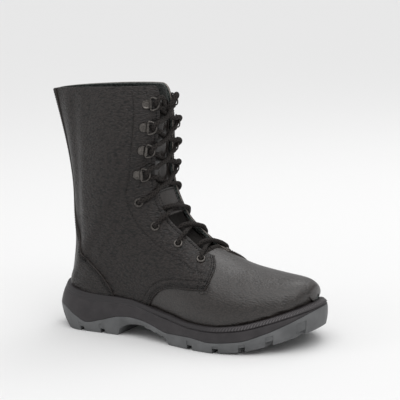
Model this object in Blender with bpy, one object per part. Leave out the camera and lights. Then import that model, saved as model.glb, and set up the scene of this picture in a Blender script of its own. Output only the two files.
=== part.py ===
"""High lace-up leather safety boot for the right foot, built piece by piece.

+X is the toe, +Y the wearer's left, +Z up. The origin is the flat spot of the heel on the floor.
"""
import math
from typing import NamedTuple

import bpy
import numpy as np
from mathutils import Matrix, Vector

# Lengths of the last and the boot, in metres.
SOLE_LENGTH = 0.305
BALL_WIDTH = 0.1165
SHAFT_WIDTH = 0.093
INSTEP_HEIGHT = 0.091
BOOT_HEIGHT = 0.2565
HEEL_REST = 0.040

# Sole sizes.
RIM_HEIGHT = 0.047
RIM_LEAN = 0.009
RIM_WALL = 0.006
TOE_SWING = 0.007
HEEL_ROUND = 0.043
TOE_ROUND = 0.070
TOE_SQUARE = 2.2
TREAD_INSET = 0.002
LIP = 0.0032
LIP_STEP = 0.0006
BED = 0.004
BAND_HEIGHT = 0.0055
BAND_STEP = 0.0008
GROOVE_DEPTH = 0.0045
GROOVE_WIDTH = 0.0065
GROOVE_REACH = 0.55

# Walls, overlays and the clearance between neighbours.
GAP = 0.0003
CUP_PLAY = 0.0015
WALL = 0.002
QUARTER = 0.0016
COUNTER = 0.0014
TONGUE = 0.0025
PATCH = 0.0012
INSOLE = 0.0025
INSOLE_PLAY = 0.0016
THROAT_GAP = 0.0205
BACKSTAY_WIDTH = 0.025
PATCH_WIDTH = 0.86

# Lacing.
EYELET_RADIUS = 0.0048
EYELET_BORE = 0.0023
EYELET_METAL = 0.0004
EYELET_DOME = 0.0013
EYELET_FROM_EDGE = 0.0120
EYELET_SIDES = 8
SEAT = 0.0008
PLATE_LENGTH = 0.0085
PLATE_WIDTH = 0.0088
PLATE_METAL = 0.0007
LOOP_FROM_EDGE = 0.0120
WIRE = 0.0016
WIRE_PLAY = 0.0003
RING_HEIGHT = 0.0128
RING_REACH = 0.0085
RING_TILT = 20.0
LACE = 0.0044
LACE_CLEAR = 0.0012

RIGHT, LEFT = -1, 1
SIDE_CELLS = 10
CENTRE_CELLS = 4
CURVE_STEPS = 28
OUTLINE_STEPS = 400
SPREAD = 1.5
RIM_CLEAR = 0.0005
TAB_SLOPE = 0.012
COUNTER_ROW = 11
COUNTER_CELLS = 8
ROLL_STEPS = 6
ROLL_TURN = 280.0
RING_STEPS = 8
WIRE_SIDES = 5
LACE_SIDES = 6
LACE_STEPS = 5
LACE_INWARD = 0.001
LACE_APART = 0.014
LACE_LIFT = GAP + QUARTER + LACE_CLEAR + LACE/2
PATCH_ROWS = (11, 16)
SETTLE_ROUNDS = 12
PROBE = 0.05
EDGE_REACH = 0.008

# Shares of the plates' and the rings' sizes.
PLATE_STEPS = (0.0, 0.12, 0.45)
PLATE_FLAT = 0.08
PLATE_ROUND = 2.0
RING_STRAIGHT = 0.72
RING_BOW = 0.9


class DomeSpot(NamedTuple):
    """Point of an eyelet's flange: out is a share of the flange's width, up of EYELET_DOME."""
    out: float
    up: float


EYELET_PROFILE = [DomeSpot(0.0, 0.6), DomeSpot(0.32, 1.0), DomeSpot(0.71, 0.8), DomeSpot(1.0, 0.0)]


class SoleSection(NamedTuple):
    """A station of the sole.

    along is a share of SOLE_LENGTH from the back, right and left are shares of BALL_WIDTH, swing
    of TOE_SWING, ground, join, floor and rim of RIM_HEIGHT, lean of RIM_LEAN and wall of RIM_WALL.
    """
    along: float
    right: float
    left: float
    swing: float
    ground: float
    join: float
    floor: float
    rim: float
    lean: float
    wall: float


SOLE = [
    SoleSection(0.000, 0.335, 0.345, 0.00, 0.11, 0.54, 0.66, 1.00, 1.00, 1.00),
    SoleSection(0.060, 0.335, 0.345, 0.00, 0.00, 0.51, 0.66, 0.97, 0.56, 1.00),
    SoleSection(0.120, 0.337, 0.343, 0.00, 0.00, 0.34, 0.65, 0.915, 0.37, 0.95),
    SoleSection(0.165, 0.339, 0.337, 0.00, 0.00, 0.22, 0.645, 0.885, 0.34, 0.91),
    SoleSection(0.225, 0.342, 0.328, 0.00, 0.00, 0.30, 0.635, 0.865, 0.33, 0.87),
    SoleSection(0.292, 0.346, 0.318, 0.00, 0.00, 0.42, 0.62, 0.85, 0.33, 0.82),
    SoleSection(0.304, 0.347, 0.316, 0.00, 0.16, 0.435, 0.61, 0.845, 0.33, 0.81),
    SoleSection(0.350, 0.353, 0.309, 0.00, 0.285, 0.455, 0.59, 0.83, 0.33, 0.77),
    SoleSection(0.390, 0.365, 0.309, 0.00, 0.305, 0.44, 0.545, 0.79, 0.33, 0.75),
    SoleSection(0.430, 0.385, 0.318, 0.00, 0.25, 0.405, 0.51, 0.745, 0.33, 0.72),
    SoleSection(0.490, 0.419, 0.340, 0.00, 0.165, 0.305, 0.445, 0.68, 0.33, 0.68),
    SoleSection(0.512, 0.432, 0.352, 0.00, 0.11, 0.27, 0.425, 0.66, 0.33, 0.665),
    SoleSection(0.525, 0.440, 0.358, 0.00, 0.00, 0.265, 0.41, 0.65, 0.33, 0.66),
    SoleSection(0.620, 0.497, 0.430, 0.04, 0.00, 0.28, 0.33, 0.56, 0.33, 0.60),
    SoleSection(0.700, 0.522, 0.480, 0.10, 0.00, 0.23, 0.32, 0.54, 0.33, 0.57),
    SoleSection(0.800, 0.495, 0.487, 0.22, 0.055, 0.285, 0.36, 0.595, 0.33, 0.55),
    SoleSection(0.880, 0.455, 0.475, 0.45, 0.16, 0.445, 0.435, 0.71, 0.37, 0.55),
    SoleSection(0.940, 0.435, 0.460, 0.70, 0.27, 0.62, 0.51, 0.83, 0.40, 0.55),
    SoleSection(1.000, 0.420, 0.450, 1.00, 0.40, 0.83, 0.585, 0.98, 0.47, 0.55),
]
LUG_GROOVES = [0.048, 0.133, 0.220, 0.610, 0.712, 0.802, 0.882, 0.960]
MORE_STATIONS = [0.022, 0.07, 0.14, 0.23, 0.292, 0.304, 0.33, 0.40, 0.48, 0.512, 0.525, 0.57, 0.925, 0.998]


class FootSection(NamedTuple):
    """A row of the upper whose ends stand on the feather line.

    along and top are shares of SOLE_LENGTH, and rise gives the top's height: 0 is the ground,
    1 the instep and 2 the collar. right and left are shares of BALL_WIDTH, belly is the share of
    the row's height at its widest, low and high the roundness under and over it, gap is a share
    of THROAT_GAP, and crown is how much of its arch the strip between the facings keeps.
    """
    along: float
    top: float
    rise: float
    right: float
    left: float
    belly: float
    low: float
    high: float
    gap: float
    crown: float


FOOT = [
    FootSection(1.000, 0.9745, 0.540, 0.352, 0.384, 0.30, 2.0, 2.0, 0.070, 1.00),
    FootSection(0.993, 0.9735, 0.600, 0.354, 0.385, 0.30, 2.0, 2.0, 0.110, 1.00),
    FootSection(0.975, 0.9660, 0.670, 0.362, 0.388, 0.30, 2.0, 2.1, 0.200, 1.00),
    FootSection(0.945, 0.9430, 0.712, 0.377, 0.398, 0.30, 2.0, 2.2, 0.300, 1.00),
    FootSection(0.900, 0.9000, 0.737, 0.400, 0.412, 0.30, 2.0, 2.2, 0.420, 1.00),
    FootSection(0.850, 0.8500, 0.748, 0.425, 0.428, 0.30, 2.0, 2.2, 0.500, 1.00),
    FootSection(0.790, 0.7850, 0.778, 0.450, 0.434, 0.30, 2.0, 2.15, 0.520, 1.00),
    FootSection(0.720, 0.7150, 0.840, 0.468, 0.430, 0.28, 2.0, 2.1, 0.550, 1.00),
    FootSection(0.660, 0.6550, 0.935, 0.458, 0.402, 0.27, 2.0, 2.05, 0.630, 1.00),
    FootSection(0.610, 0.6150, 1.010, 0.440, 0.372, 0.26, 2.0, 2.0, 0.760, 0.90),
    FootSection(0.530, 0.5700, 1.082, 0.392, 0.328, 0.27, 2.0, 2.0, 0.800, 0.60),
    FootSection(0.430, 0.5215, 1.161, 0.345, 0.316, 0.33, 2.0, 2.05, 0.820, 0.40),
    FootSection(0.365, 0.5000, 1.205, 0.333, 0.319, 0.38, 2.0, 2.05, 0.840, 0.33),
    FootSection(0.300, 0.4845, 1.252, 0.326, 0.322, 0.42, 2.0, 2.1, 0.870, 0.30),
    FootSection(0.180, 0.4640, 1.348, 0.328, 0.328, 0.48, 2.0, 2.15, 0.920, 0.25),
    FootSection(0.100, 0.4545, 1.406, 0.336, 0.336, 0.50, 2.0, 2.2, 0.880, 0.25),
    FootSection(0.045, 0.4505, 1.459, 0.342, 0.342, 0.51, 2.0, 2.2, 0.850, 0.25),
    FootSection(0.012, 0.4490, 1.508, 0.347, 0.347, 0.51, 2.0, 2.2, 0.825, 0.25),
    FootSection(0.000, 0.4490, 1.541, 0.350, 0.350, 0.51, 2.0, 2.2, 0.800, 0.25),
]
THROAT_ROW = 9
TAB_ROW = 6


class ShaftSection(NamedTuple):
    """A row of the shaft, from its back line round to its front.

    back and top are shares of SOLE_LENGTH, climb is the back's height as a share of BOOT_HEIGHT,
    rise is the front's as in FootSection, right and left are shares of SHAFT_WIDTH, and lift is the
    power of the climb between them: 1 is a straight one, and less brings it nearer to the back.
    """
    back: float
    climb: float
    top: float
    rise: float
    right: float
    left: float
    belly: float
    low: float
    high: float
    gap: float
    crown: float
    lift: float


SHAFT = [
    ShaftSection(0.0800, 0.245, 0.4500, 1.595, 0.445, 0.445, 0.50, 2.00, 2.2, 0.755, 0.25, 1.0),
    ShaftSection(0.0965, 0.338, 0.4530, 1.657, 0.452, 0.452, 0.49, 2.00, 2.2, 0.700, 0.25, 1.0),
    ShaftSection(0.0980, 0.450, 0.4580, 1.725, 0.450, 0.450, 0.48, 2.00, 2.2, 0.650, 0.25, 1.0),
    ShaftSection(0.0925, 0.577, 0.4630, 1.798, 0.425, 0.425, 0.49, 1.95, 2.2, 0.600, 0.25, 1.0),
    ShaftSection(0.0695, 0.724, 0.4655, 1.870, 0.365, 0.365, 0.52, 1.80, 2.2, 0.530, 0.25, 0.9),
    ShaftSection(0.0400, 0.855, 0.4660, 1.935, 0.290, 0.290, 0.56, 1.65, 2.2, 0.460, 0.25, 0.6),
    ShaftSection(0.0125, 0.973, 0.4640, 2.000, 0.215, 0.215, 0.60, 1.50, 2.2, 0.400, 0.25, 0.3),
]


class Fastening(NamedTuple):
    """An eyelet or a loop: down is a share of the facing's length from the collar, and inward a
    share of EYELET_FROM_EDGE or LOOP_FROM_EDGE."""
    down: float
    inward: float


LOOPS = [Fastening(0.095, 0.78), Fastening(0.210, 1.03), Fastening(0.3235, 1.04), Fastening(0.440, 1.13)]
EYELETS = [Fastening(0.5585, 1.63), Fastening(0.673, 1.32), Fastening(0.8095, 1.0), Fastening(0.94, 0.96)]


class Spot(NamedTuple):
    """A point of an outline: along is a share of SOLE_LENGTH and up of INSTEP_HEIGHT."""
    along: float
    up: float


QUARTER_FOOT = Spot(0.430, 0.36)
QUARTER_CURVE = Spot(0.462, 0.61)
QUARTER_LOW = Spot(0.545, 0.635)
TAB_CORNER = Spot(0.670, 0.650)
TAB_FRONT = Spot(0.686, 0.80)
TAB_TOP = Spot(0.660, 0.925)
COUNTER_FOOT = Spot(0.286, 0.42)
COUNTER_CURVE = Spot(0.275, 0.66)
COUNTER_SIDE = Spot(0.170, 0.93)


class StrapWidth(NamedTuple):
    """Backstay's half width as a share of BACKSTAY_WIDTH, at a share of BOOT_HEIGHT."""
    climb: float
    half: float


BACKSTAY = [
    StrapWidth(1.05, 0.14), StrapWidth(0.87, 0.18), StrapWidth(0.74, 0.32), StrapWidth(0.587, 0.60),
    StrapWidth(0.470, 0.92), StrapWidth(0.401, 1.12), StrapWidth(0.352, 1.40), StrapWidth(0.313, 1.90),
]


def column(rows, name):
    """One named column of a table."""
    return np.array([getattr(row, name) for row in rows])


def smooth(knots, values, at):
    """Monotone cubic curve through the knots, read at each place."""
    step = np.diff(knots)
    slope = np.diff(values)/step
    product = slope[:-1]*slope[1:]
    total = np.where(product > 0, slope[:-1] + slope[1:], 1.0)
    inner = np.where(product > 0, 2*product/total, 0.0)
    tangent = np.concatenate([slope[:1], inner, slope[-1:]])
    k = np.clip(np.searchsorted(knots, at, side="right") - 1, 0, len(step) - 1)
    t = (np.asarray(at) - knots[k])/step[k]
    start = (2*t**3 - 3*t**2 + 1)*values[k] + (t**3 - 2*t**2 + t)*step[k]*tangent[k]
    end = (3*t**2 - 2*t**3)*values[k + 1] + (t**3 - t**2)*step[k]*tangent[k + 1]
    return start + end


def sole(name, along):
    """A column of the sole's table, read between its stations."""
    return smooth(column(SOLE, "along"), column(SOLE, name), along)


def end_round(distance, radius, square):
    """Share of the full width that is left this far from a rounded end."""
    near = np.clip(1 - distance/radius, 0, 1)
    return (1 - near**square)**(1/square)


def edge(along, inset):
    """X, right and left Y of the sole's outline, moved in by inset, at shares of its length."""
    x = inset + along*(SOLE_LENGTH - 2*inset) - HEEL_REST
    heel = end_round(along*SOLE_LENGTH, HEEL_ROUND, 2.0)
    toe = end_round((1 - along)*SOLE_LENGTH, TOE_ROUND, TOE_SQUARE)
    middle = sole("swing", along)*TOE_SWING
    right = middle - (sole("right", along)*BALL_WIDTH - inset)*heel*toe
    left = middle + (sole("left", along)*BALL_WIDTH - inset)*heel*toe
    return x, right, left


def feather_inset(along):
    """How far the upper stands in from the sole's outline."""
    return sole("lean", along)*RIM_LEAN + sole("wall", along)*RIM_WALL + CUP_PLAY


def height(rise):
    """Height of a row's top: 0 is the ground, 1 the instep and 2 the collar."""
    if rise < 1:
        return rise*INSTEP_HEIGHT
    return INSTEP_HEIGHT + (rise - 1)*(BOOT_HEIGHT - INSTEP_HEIGHT)


def finish(name, colour, roughness, metallic=0.0):
    """Principled material with an sRGB hex colour."""
    channels = [int(colour[k:k + 2], 16)/255 for k in (0, 2, 4)]
    linear = [c/12.92 if c <= 0.04045 else ((c + 0.055)/1.055)**2.4 for c in channels]
    material = bpy.data.materials.new(name)
    material.use_nodes = True
    shader = material.node_tree.nodes["Principled BSDF"]
    shader.inputs["Base Color"].default_value = (*linear, 1.0)
    shader.inputs["Roughness"].default_value = roughness
    shader.inputs["Metallic"].default_value = metallic
    return material


def volume(points, faces):
    """Signed volume inside the faces."""
    total = 0.0
    for face in faces:
        for second, third in zip(face[1:-1], face[2:]):
            total += np.dot(points[face[0]], np.cross(points[second], points[third]))/6
    return total


def add_mesh(name, points, faces, material=None, sharp=40):
    """Object of closed faces, turned to face out."""
    points = np.array(points, dtype=float)
    if volume(points, faces) < 0:
        faces = [list(reversed(face)) for face in faces]
    mesh = bpy.data.meshes.new(name)
    mesh.from_pydata([tuple(point) for point in points], [], [tuple(face) for face in faces])
    mesh.shade_smooth()
    mesh.set_sharp_from_angle(angle=math.radians(sharp))
    if material:
        mesh.materials.append(material)
    item = bpy.data.objects.new(name, mesh)
    bpy.context.scene.collection.objects.link(item)
    return item


def cut(item, cutter, operation="DIFFERENCE"):
    """Boolean of an item with a hidden cutter."""
    cutter.hide_render = True
    cutter.display_type = "WIRE"
    modifier = item.modifiers.new(cutter.name, "BOOLEAN")
    modifier.solver = "EXACT"
    modifier.operation = operation
    modifier.object = cutter


def prism(name, outline, axis, low, high):
    """Straight prism over an outline of (along, up) points, extruded along X or Y."""
    points = []
    for place in (low, high):
        for along, up in outline:
            points.append((along, place, up) if axis == "Y" else (place, along, up))
    count = len(outline)
    faces = [list(range(count)), [count + k for k in reversed(range(count))]]
    for k in range(count):
        after = (k + 1) % count
        faces.append([after, k, count + k, count + after])
    return add_mesh(name, points, faces)


def bend(start, corner, end, steps):
    """Points of a soft bend from start to end, drawn towards its corner."""
    turns = [k/steps for k in range(steps + 1)]
    return [tuple((1 - t)**2*a + 2*t*(1 - t)*b + t*t*c for a, b, c in zip(start, corner, end))
            for t in turns]


def rings_solid(name, rings, stations, material):
    """Closed solid through rings of (right, left) points, capped by rungs from side to side."""
    count = len(stations)
    points, loops = [], []
    for inset, up in rings:
        x, right, left = edge(stations, inset)
        loop = []
        for k in range(count):
            loop.append(len(points))
            points.append((x[k], right[k], up[k]))
        for k in reversed(range(1, count - 1)):
            loop.append(len(points))
            points.append((x[k], left[k], up[k]))
        loops.append(loop)
    faces = []
    around = len(loops[0])
    for lower, upper in zip(loops, loops[1:]):
        for k in range(around):
            after = (k + 1) % around
            faces.append([lower[k], lower[after], upper[after]])
            faces.append([lower[k], upper[after], upper[k]])
    for loop, bottom in ((loops[0], True), (loops[-1], False)):
        rungs = []
        for k in range(count - 1):
            right_pair = [loop[k], loop[k + 1]]
            left_pair = [loop[-k] if k else loop[0], loop[-k - 1]]
            rung = [right_pair[0], right_pair[1], left_pair[1], left_pair[0]]
            if k == 0:
                rung = rung[:3]
            elif k == count - 2:
                rung = [rung[0], rung[1], rung[3]]
            rungs.append(rung)
        faces += [list(reversed(rung)) for rung in rungs] if bottom else rungs
    return add_mesh(name, points, faces, material)


def sole_stations():
    """Shares of the length where the sole has points: the upper's rows and the arch's own."""
    return np.array(sorted(set(column(FOOT, "along")) | set(MORE_STATIONS)))


class Skin(NamedTuple):
    """Grid of the last's surface: rows from toe to collar, columns from right over to left."""
    points: np.ndarray
    normals: np.ndarray
    index: np.ndarray


def spread(path, cells):
    """Points at equal steps along a path."""
    steps = np.linalg.norm(np.diff(path, axis=0), axis=1)
    length = np.concatenate([[0], np.cumsum(steps)])
    at = np.linspace(0, length[-1], cells + 1)
    return np.stack([np.interp(at, length, path[:, k]) for k in range(3)], axis=1)


def cup_room(x, up, side):
    """Half width that the midsole's rim leaves at these places, growing above the rim."""
    along = np.linspace(0, 1, OUTLINE_STEPS)
    places, right, left = edge(along, feather_inset(along))
    middle = sole("swing", along)*TOE_SWING
    half = middle - right if side == RIGHT else left - middle
    inside = np.interp(x, places, half)
    rim = np.interp(x, places, sole("rim", along)*RIM_HEIGHT)
    return inside + SPREAD*np.maximum(0, up - rim)


def half_row(bottom, top, start, width, side, row, lift):
    """One side of a row: from its end to the facing line, then over to the top."""
    turn = np.linspace(0, math.pi/2, CURVE_STEPS)
    first = start/width if width > GAP else 1.0
    low, high = row.low, row.high
    cosine = np.clip(np.cos(turn), 0, 1)
    under = (1 - cosine**2*(1 - first**low))**(1/low)
    under_rise = row.belly*(1 - cosine**(2/low))
    over = cosine**(2/high)
    over_rise = row.belly + (1 - row.belly)*np.sin(turn)**(2/high)
    shape = np.concatenate([under, over[1:]])
    rise = np.concatenate([under_rise, over_rise[1:]])[:, None]
    path = np.array(bottom)*(1 - rise) + np.array(top)*rise
    path[:, 2] = bottom[2] + (top[2] - bottom[2])*rise[:, 0]**lift
    path[:, 1] += side*np.minimum(width*shape, cup_room(path[:, 0], path[:, 2], side))
    reach = min(row.gap*THROAT_GAP/width, 1.0) if width > GAP else row.gap
    steps = np.arange(CURVE_STEPS - 1, 2*CURVE_STEPS - 1)
    place = np.interp(reach, shape[steps][::-1], steps[::-1])
    low_step = min(int(place), 2*CURVE_STEPS - 3)
    share = place - low_step
    facing = path[low_step]*(1 - share) + path[low_step + 1]*share
    outer = spread(np.vstack([path[:low_step + 1], facing]), SIDE_CELLS)
    over_path = spread(np.vstack([facing, path[low_step + 1:]]), CENTRE_CELLS//2)
    return outer, over_path


def full_row(bottom, top, starts, widths, row, lift=1.0):
    """Points of a whole row, with the strip between its facings pulled flat."""
    right, right_over = half_row(bottom, top, starts[0], widths[0], RIGHT, row, lift)
    left, left_over = half_row(bottom, top, starts[1], widths[1], LEFT, row, lift)
    centre = np.vstack([right_over, left_over[::-1][1:]])
    share = np.linspace(0, 1, CENTRE_CELLS + 1)[:, None]
    chord = right[-1]*(1 - share) + left[-1]*share
    centre = chord + row.crown*(centre - chord)
    return np.vstack([right[:-1], centre, left[::-1][1:]])


def foot_row(row):
    """Row of the foot, standing on the feather line."""
    along = np.array([row.along])
    x, right, left = (float(value[0]) for value in edge(along, feather_inset(along)))
    middle = float(sole("swing", along)[0])*TOE_SWING
    toe = float(end_round((1 - along)*SOLE_LENGTH, TOE_ROUND, TOE_SQUARE)[0])
    bottom = (x, middle, float(sole("floor", along)[0])*RIM_HEIGHT + GAP)
    top = (row.top*SOLE_LENGTH - HEEL_REST, middle, height(row.rise))
    widths = (row.right*BALL_WIDTH*toe, row.left*BALL_WIDTH*toe)
    return full_row(bottom, top, (middle - right, left - middle), widths, row)


def shaft_row(row):
    """Row of the shaft, which meets itself at the back."""
    bottom = (row.back*SOLE_LENGTH - HEEL_REST, 0.0, row.climb*BOOT_HEIGHT)
    top = (row.top*SOLE_LENGTH - HEEL_REST, 0.0, height(row.rise))
    widths = (row.right*SHAFT_WIDTH, row.left*SHAFT_WIDTH)
    return full_row(bottom, top, (0.0, 0.0), widths, row, row.lift)


def corners_of(row, col):
    """The four corners of a cell, in order round it."""
    return [(row, col), (row, col + 1), (row + 1, col + 1), (row + 1, col)]


def triangles(index, cells):
    """Triangles of the cells, with joined corners left out."""
    faces = []
    for row, col in cells:
        first, second, third, fourth = (int(index[corner]) for corner in corners_of(row, col))
        for face in ([first, second, third], [first, third, fourth]):
            if len(set(face)) == 3:
                faces.append(face)
    return faces


def make_skin():
    """Surface of the upper, with its joined corners and its normals."""
    rows = [foot_row(row) for row in FOOT] + [shaft_row(row) for row in SHAFT]
    points = np.array(rows)
    count, across = points.shape[:2]
    index = np.arange(count*across).reshape(count, across)
    last = across - 1
    for col in range(across//2):
        index[0, last - col] = index[0, col]
    index[len(FOOT) - 1:, last] = index[len(FOOT) - 1:, 0]
    flat = points.reshape(-1, 3)
    total = np.zeros_like(flat)
    for face in triangles(index, all_cells(points)):
        a, b, c = flat[face]
        total[face] += np.cross(b - a, c - a)
    normals = total[index]
    normals[:len(FOOT), [0, last], 2] = 0
    normals[0, :, 1] = 0
    normals /= np.linalg.norm(normals, axis=2, keepdims=True)
    return Skin(points, normals, index)


def all_cells(points):
    """Every cell of the grid."""
    return [(row, col) for row in range(points.shape[0] - 1) for col in range(points.shape[1] - 1)]


def sheet_solid(name, skin, cells, inner, outer, material):
    """Closed sheet over some cells of the skin, between two distances from it."""
    faces = triangles(skin.index, cells)
    used = sorted({corner for face in faces for corner in face})
    number = {corner: k for k, corner in enumerate(used)}
    faces = [[number[corner] for corner in face] for face in faces]
    place = {}
    for spot in np.ndindex(skin.index.shape):
        place.setdefault(int(skin.index[spot]), spot)
    outside = [skin.points[place[corner]] + outer*skin.normals[place[corner]] for corner in used]
    inside = [skin.points[place[corner]] + inner*skin.normals[place[corner]] for corner in used]
    shift = len(used)
    sides = {(a, b) for face in faces for a, b in zip(face, face[1:] + face[:1])}
    rim = [(a, b) for a, b in sorted(sides) if (b, a) not in sides]
    closed = faces + [[shift + corner for corner in reversed(face)] for face in faces]
    for a, b in rim:
        closed += [[b, a, shift + a], [b, shift + a, shift + b]]
    return add_mesh(name, outside + inside, closed, material)


def side_columns(side, skin):
    """Columns of the cells on one side of the facings."""
    last = skin.points.shape[1] - 1
    return range(SIDE_CELLS) if side == RIGHT else range(last - SIDE_CELLS, last)


def centre_columns():
    """Columns of the cells between the facings."""
    return range(SIDE_CELLS, SIDE_CELLS + CENTRE_CELLS)


def make_outsole(material):
    """Grey outsole: lugged underside, and a lip that rises outside the midsole at the toe."""
    at = sole_stations()
    join = sole("join", at)*RIM_HEIGHT
    bed = np.minimum(join - LIP_STEP, sole("floor", at)*RIM_HEIGHT - BED)
    rings = [(TREAD_INSET, sole("ground", at)*RIM_HEIGHT), (0.0, join), (LIP, join), (LIP, bed)]
    item = rings_solid("outsole", rings, at, material)
    cut(item, lug_grooves())
    return item


def lug_grooves():
    """Bars that cut the grooves between the lugs, in from both sides of the tread."""
    points, faces = [], []
    for start in LUG_GROOVES:
        ends = np.array([start, start + GROOVE_WIDTH/SOLE_LENGTH])
        x, right, left = edge(ends, 0.0)
        top = float(np.mean(sole("ground", ends)))*RIM_HEIGHT + GROOVE_DEPTH
        middle, half = float(np.mean(right + left))/2, float(np.mean(left - right))/2
        for side in (RIGHT, LEFT):
            near = middle + side*half*(1 - GROOVE_REACH)
            far = side*BALL_WIDTH
            first = len(points)
            points += [(place, across, up) for up in (-GROOVE_DEPTH, top) for across in (near, far)
                       for place in (float(x[0]), float(x[1]))]
            faces += [[first + k for k in face] for face in box_faces(side)]
    return add_mesh("lug_grooves", points, faces)


def box_faces(side):
    """Faces of a box whose corners run along X, then Y, then Z, facing out."""
    faces = [[0, 2, 3, 1], [4, 5, 7, 6], [0, 1, 5, 4], [2, 6, 7, 3], [0, 4, 6, 2], [1, 3, 7, 5]]
    return faces if side == LEFT else [face[::-1] for face in faces]


def make_midsole(material):
    """Black cup: a wall with a band at its rim, round a floor for the upper."""
    at = sole_stations()
    join = sole("join", at)*RIM_HEIGHT
    bed = np.minimum(join - LIP_STEP, sole("floor", at)*RIM_HEIGHT - BED)
    floor = sole("floor", at)*RIM_HEIGHT
    rim = sole("rim", at)*RIM_HEIGHT
    lean = sole("lean", at)*RIM_LEAN
    inside = lean + sole("wall", at)*RIM_WALL
    rings = [
        (LIP + GAP, bed + GAP), (LIP + GAP, join + GAP), (0.0, join + GAP),
        (lean - BAND_STEP, rim - BAND_HEIGHT), (lean, rim - BAND_HEIGHT + BAND_STEP), (lean, rim),
        (inside, rim), (inside, floor),
    ]
    return rings_solid("midsole", rings, at, material)


def make_insole(material):
    """Foot bed inside the upper."""
    at = np.sort(column(FOOT, "along"))
    inset = feather_inset(at) + WALL + INSOLE_PLAY
    base = sole("floor", at)*RIM_HEIGHT + GAP
    return rings_solid("insole", [(inset, base), (inset, base + INSOLE)], at, material)


def make_upper(skin, material):
    """Vamp, inner quarters and shaft in one wall, open at throat, collar and underneath."""
    keep = [(row, col) for row, col in all_cells(skin.points)
            if row < THROAT_ROW or col not in centre_columns()]
    return sheet_solid("upper", skin, keep, -WALL, 0.0, material)


def make_tongue(skin, material):
    """Tongue under the facings, from under the vamp to just below the collar."""
    last_row = len(FOOT) + len(SHAFT) - 1
    columns = range(SIDE_CELLS - 1, SIDE_CELLS + CENTRE_CELLS + 1)
    cells = [(row, col) for row in range(THROAT_ROW - 1, last_row - 1) for col in columns]
    outer = -WALL - GAP
    return sheet_solid("tongue", skin, cells, outer - TONGUE, outer, material)


def ground_point(spot):
    """X and Z of an outline's point."""
    return (spot.along*SOLE_LENGTH - HEEL_REST, spot.up*INSTEP_HEIGHT)


def rim_line(end):
    """Points just over the midsole's rim, from behind the heel to a share of the length."""
    stations = sole_stations()
    at = np.append(stations[stations < end - RIM_CLEAR], end)
    x = edge(at, sole("lean", at)*RIM_LEAN + sole("wall", at)*RIM_WALL)[0]
    up = sole("rim", at)*RIM_HEIGHT + RIM_CLEAR
    line = [(float(a), float(b)) for a, b in zip(x, up)]
    return [(-SOLE_LENGTH/2, line[0][1])] + line


def quarter_outline():
    """Side view of a quarter: the rim, the low curve over the vamp, and the lacing tab."""
    rim = rim_line(QUARTER_FOOT.along)
    low = bend(rim[-1], ground_point(QUARTER_CURVE), ground_point(QUARTER_LOW), 5)
    corner = ground_point(TAB_CORNER)
    tab = bend(corner, ground_point(TAB_FRONT), ground_point(TAB_TOP), 6)
    top = (tab[-1][0] - TAB_SLOPE, BOOT_HEIGHT + HEEL_REST)
    return rim[:-1] + low + tab + [top, (-SOLE_LENGTH/2, top[1])]


def counter_outline():
    """Side view of the counter, up to the height where it narrows to the backstay."""
    rim = rim_line(COUNTER_FOOT.along)
    side = bend(rim[-1], ground_point(COUNTER_CURVE), ground_point(COUNTER_SIDE), 6)
    steep = (side[-1][0], BOOT_HEIGHT + HEEL_REST)
    return rim[:-1] + side + [steep, (-SOLE_LENGTH/2, steep[1])]


def backstay_outline():
    """Back view of the backstay over the counter's full width."""
    left = [(row.half*BACKSTAY_WIDTH, row.climb*BOOT_HEIGHT) for row in BACKSTAY]
    low = [(BALL_WIDTH, left[-1][1]), (BALL_WIDTH, -HEEL_REST)]
    half = left + low
    return half + [(-across, up) for across, up in reversed(half)]


def make_quarter(side, skin, places, material):
    """Outer quarter of one side, with its lacing tab and eyelet holes."""
    name = "quarter_right" if side == RIGHT else "quarter_left"
    cells = [(row, col) for row in range(TAB_ROW, skin.points.shape[0] - 1)
             for col in side_columns(side, skin)]
    parted = part_at_back(skin, side)
    item = sheet_solid(name, parted, cells, GAP, GAP + QUARTER, material)
    spans = (-BALL_WIDTH, 0.0) if side == RIGHT else (0.0, BALL_WIDTH)
    cut(item, prism(name + "_outline", quarter_outline(), "Y", *spans), "INTERSECT")
    punch(item, places)
    return item


def part_at_back(skin, side):
    """Skin whose two sides stay a seam's gap apart at the back."""
    points = skin.points.copy()
    col = 0 if side == RIGHT else points.shape[1] - 1
    for row in points[len(FOOT) - 1:]:
        share = GAP/abs(row[col - side, 1])
        row[col] = row[col]*(1 - share) + row[col - side]*share
    index = np.arange(points.shape[0]*points.shape[1]).reshape(points.shape[:2])
    return Skin(points, skin.normals, index)


def make_counter(skin, material):
    """Heel counter and backstay in one piece, over the quarters."""
    last = skin.points.shape[1] - 1
    cells = [(row, col) for row in range(COUNTER_ROW, skin.points.shape[0] - 1)
             for col in list(range(COUNTER_CELLS)) + list(range(last - COUNTER_CELLS, last))]
    inner = 2*GAP + QUARTER
    item = sheet_solid("counter", skin, cells, inner, inner + COUNTER, material)
    cut(item, prism("counter_outline", counter_outline(), "Y", -BALL_WIDTH, BALL_WIDTH), "INTERSECT")
    reach = (-SOLE_LENGTH/2, COUNTER_SIDE.along*SOLE_LENGTH + HEEL_REST)
    cut(item, prism("backstay_outline", backstay_outline(), "X", *reach), "INTERSECT")
    return item


def lerp_row(grid, place):
    """Grid row at a fractional place."""
    low = min(int(place), grid.shape[0] - 2)
    return grid[low]*(1 - place + low) + grid[low + 1]*(place - low)


def reading(grid, row, col):
    """Grid value at a fractional row and column."""
    return lerp_row(lerp_row(grid, row), col)


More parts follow.
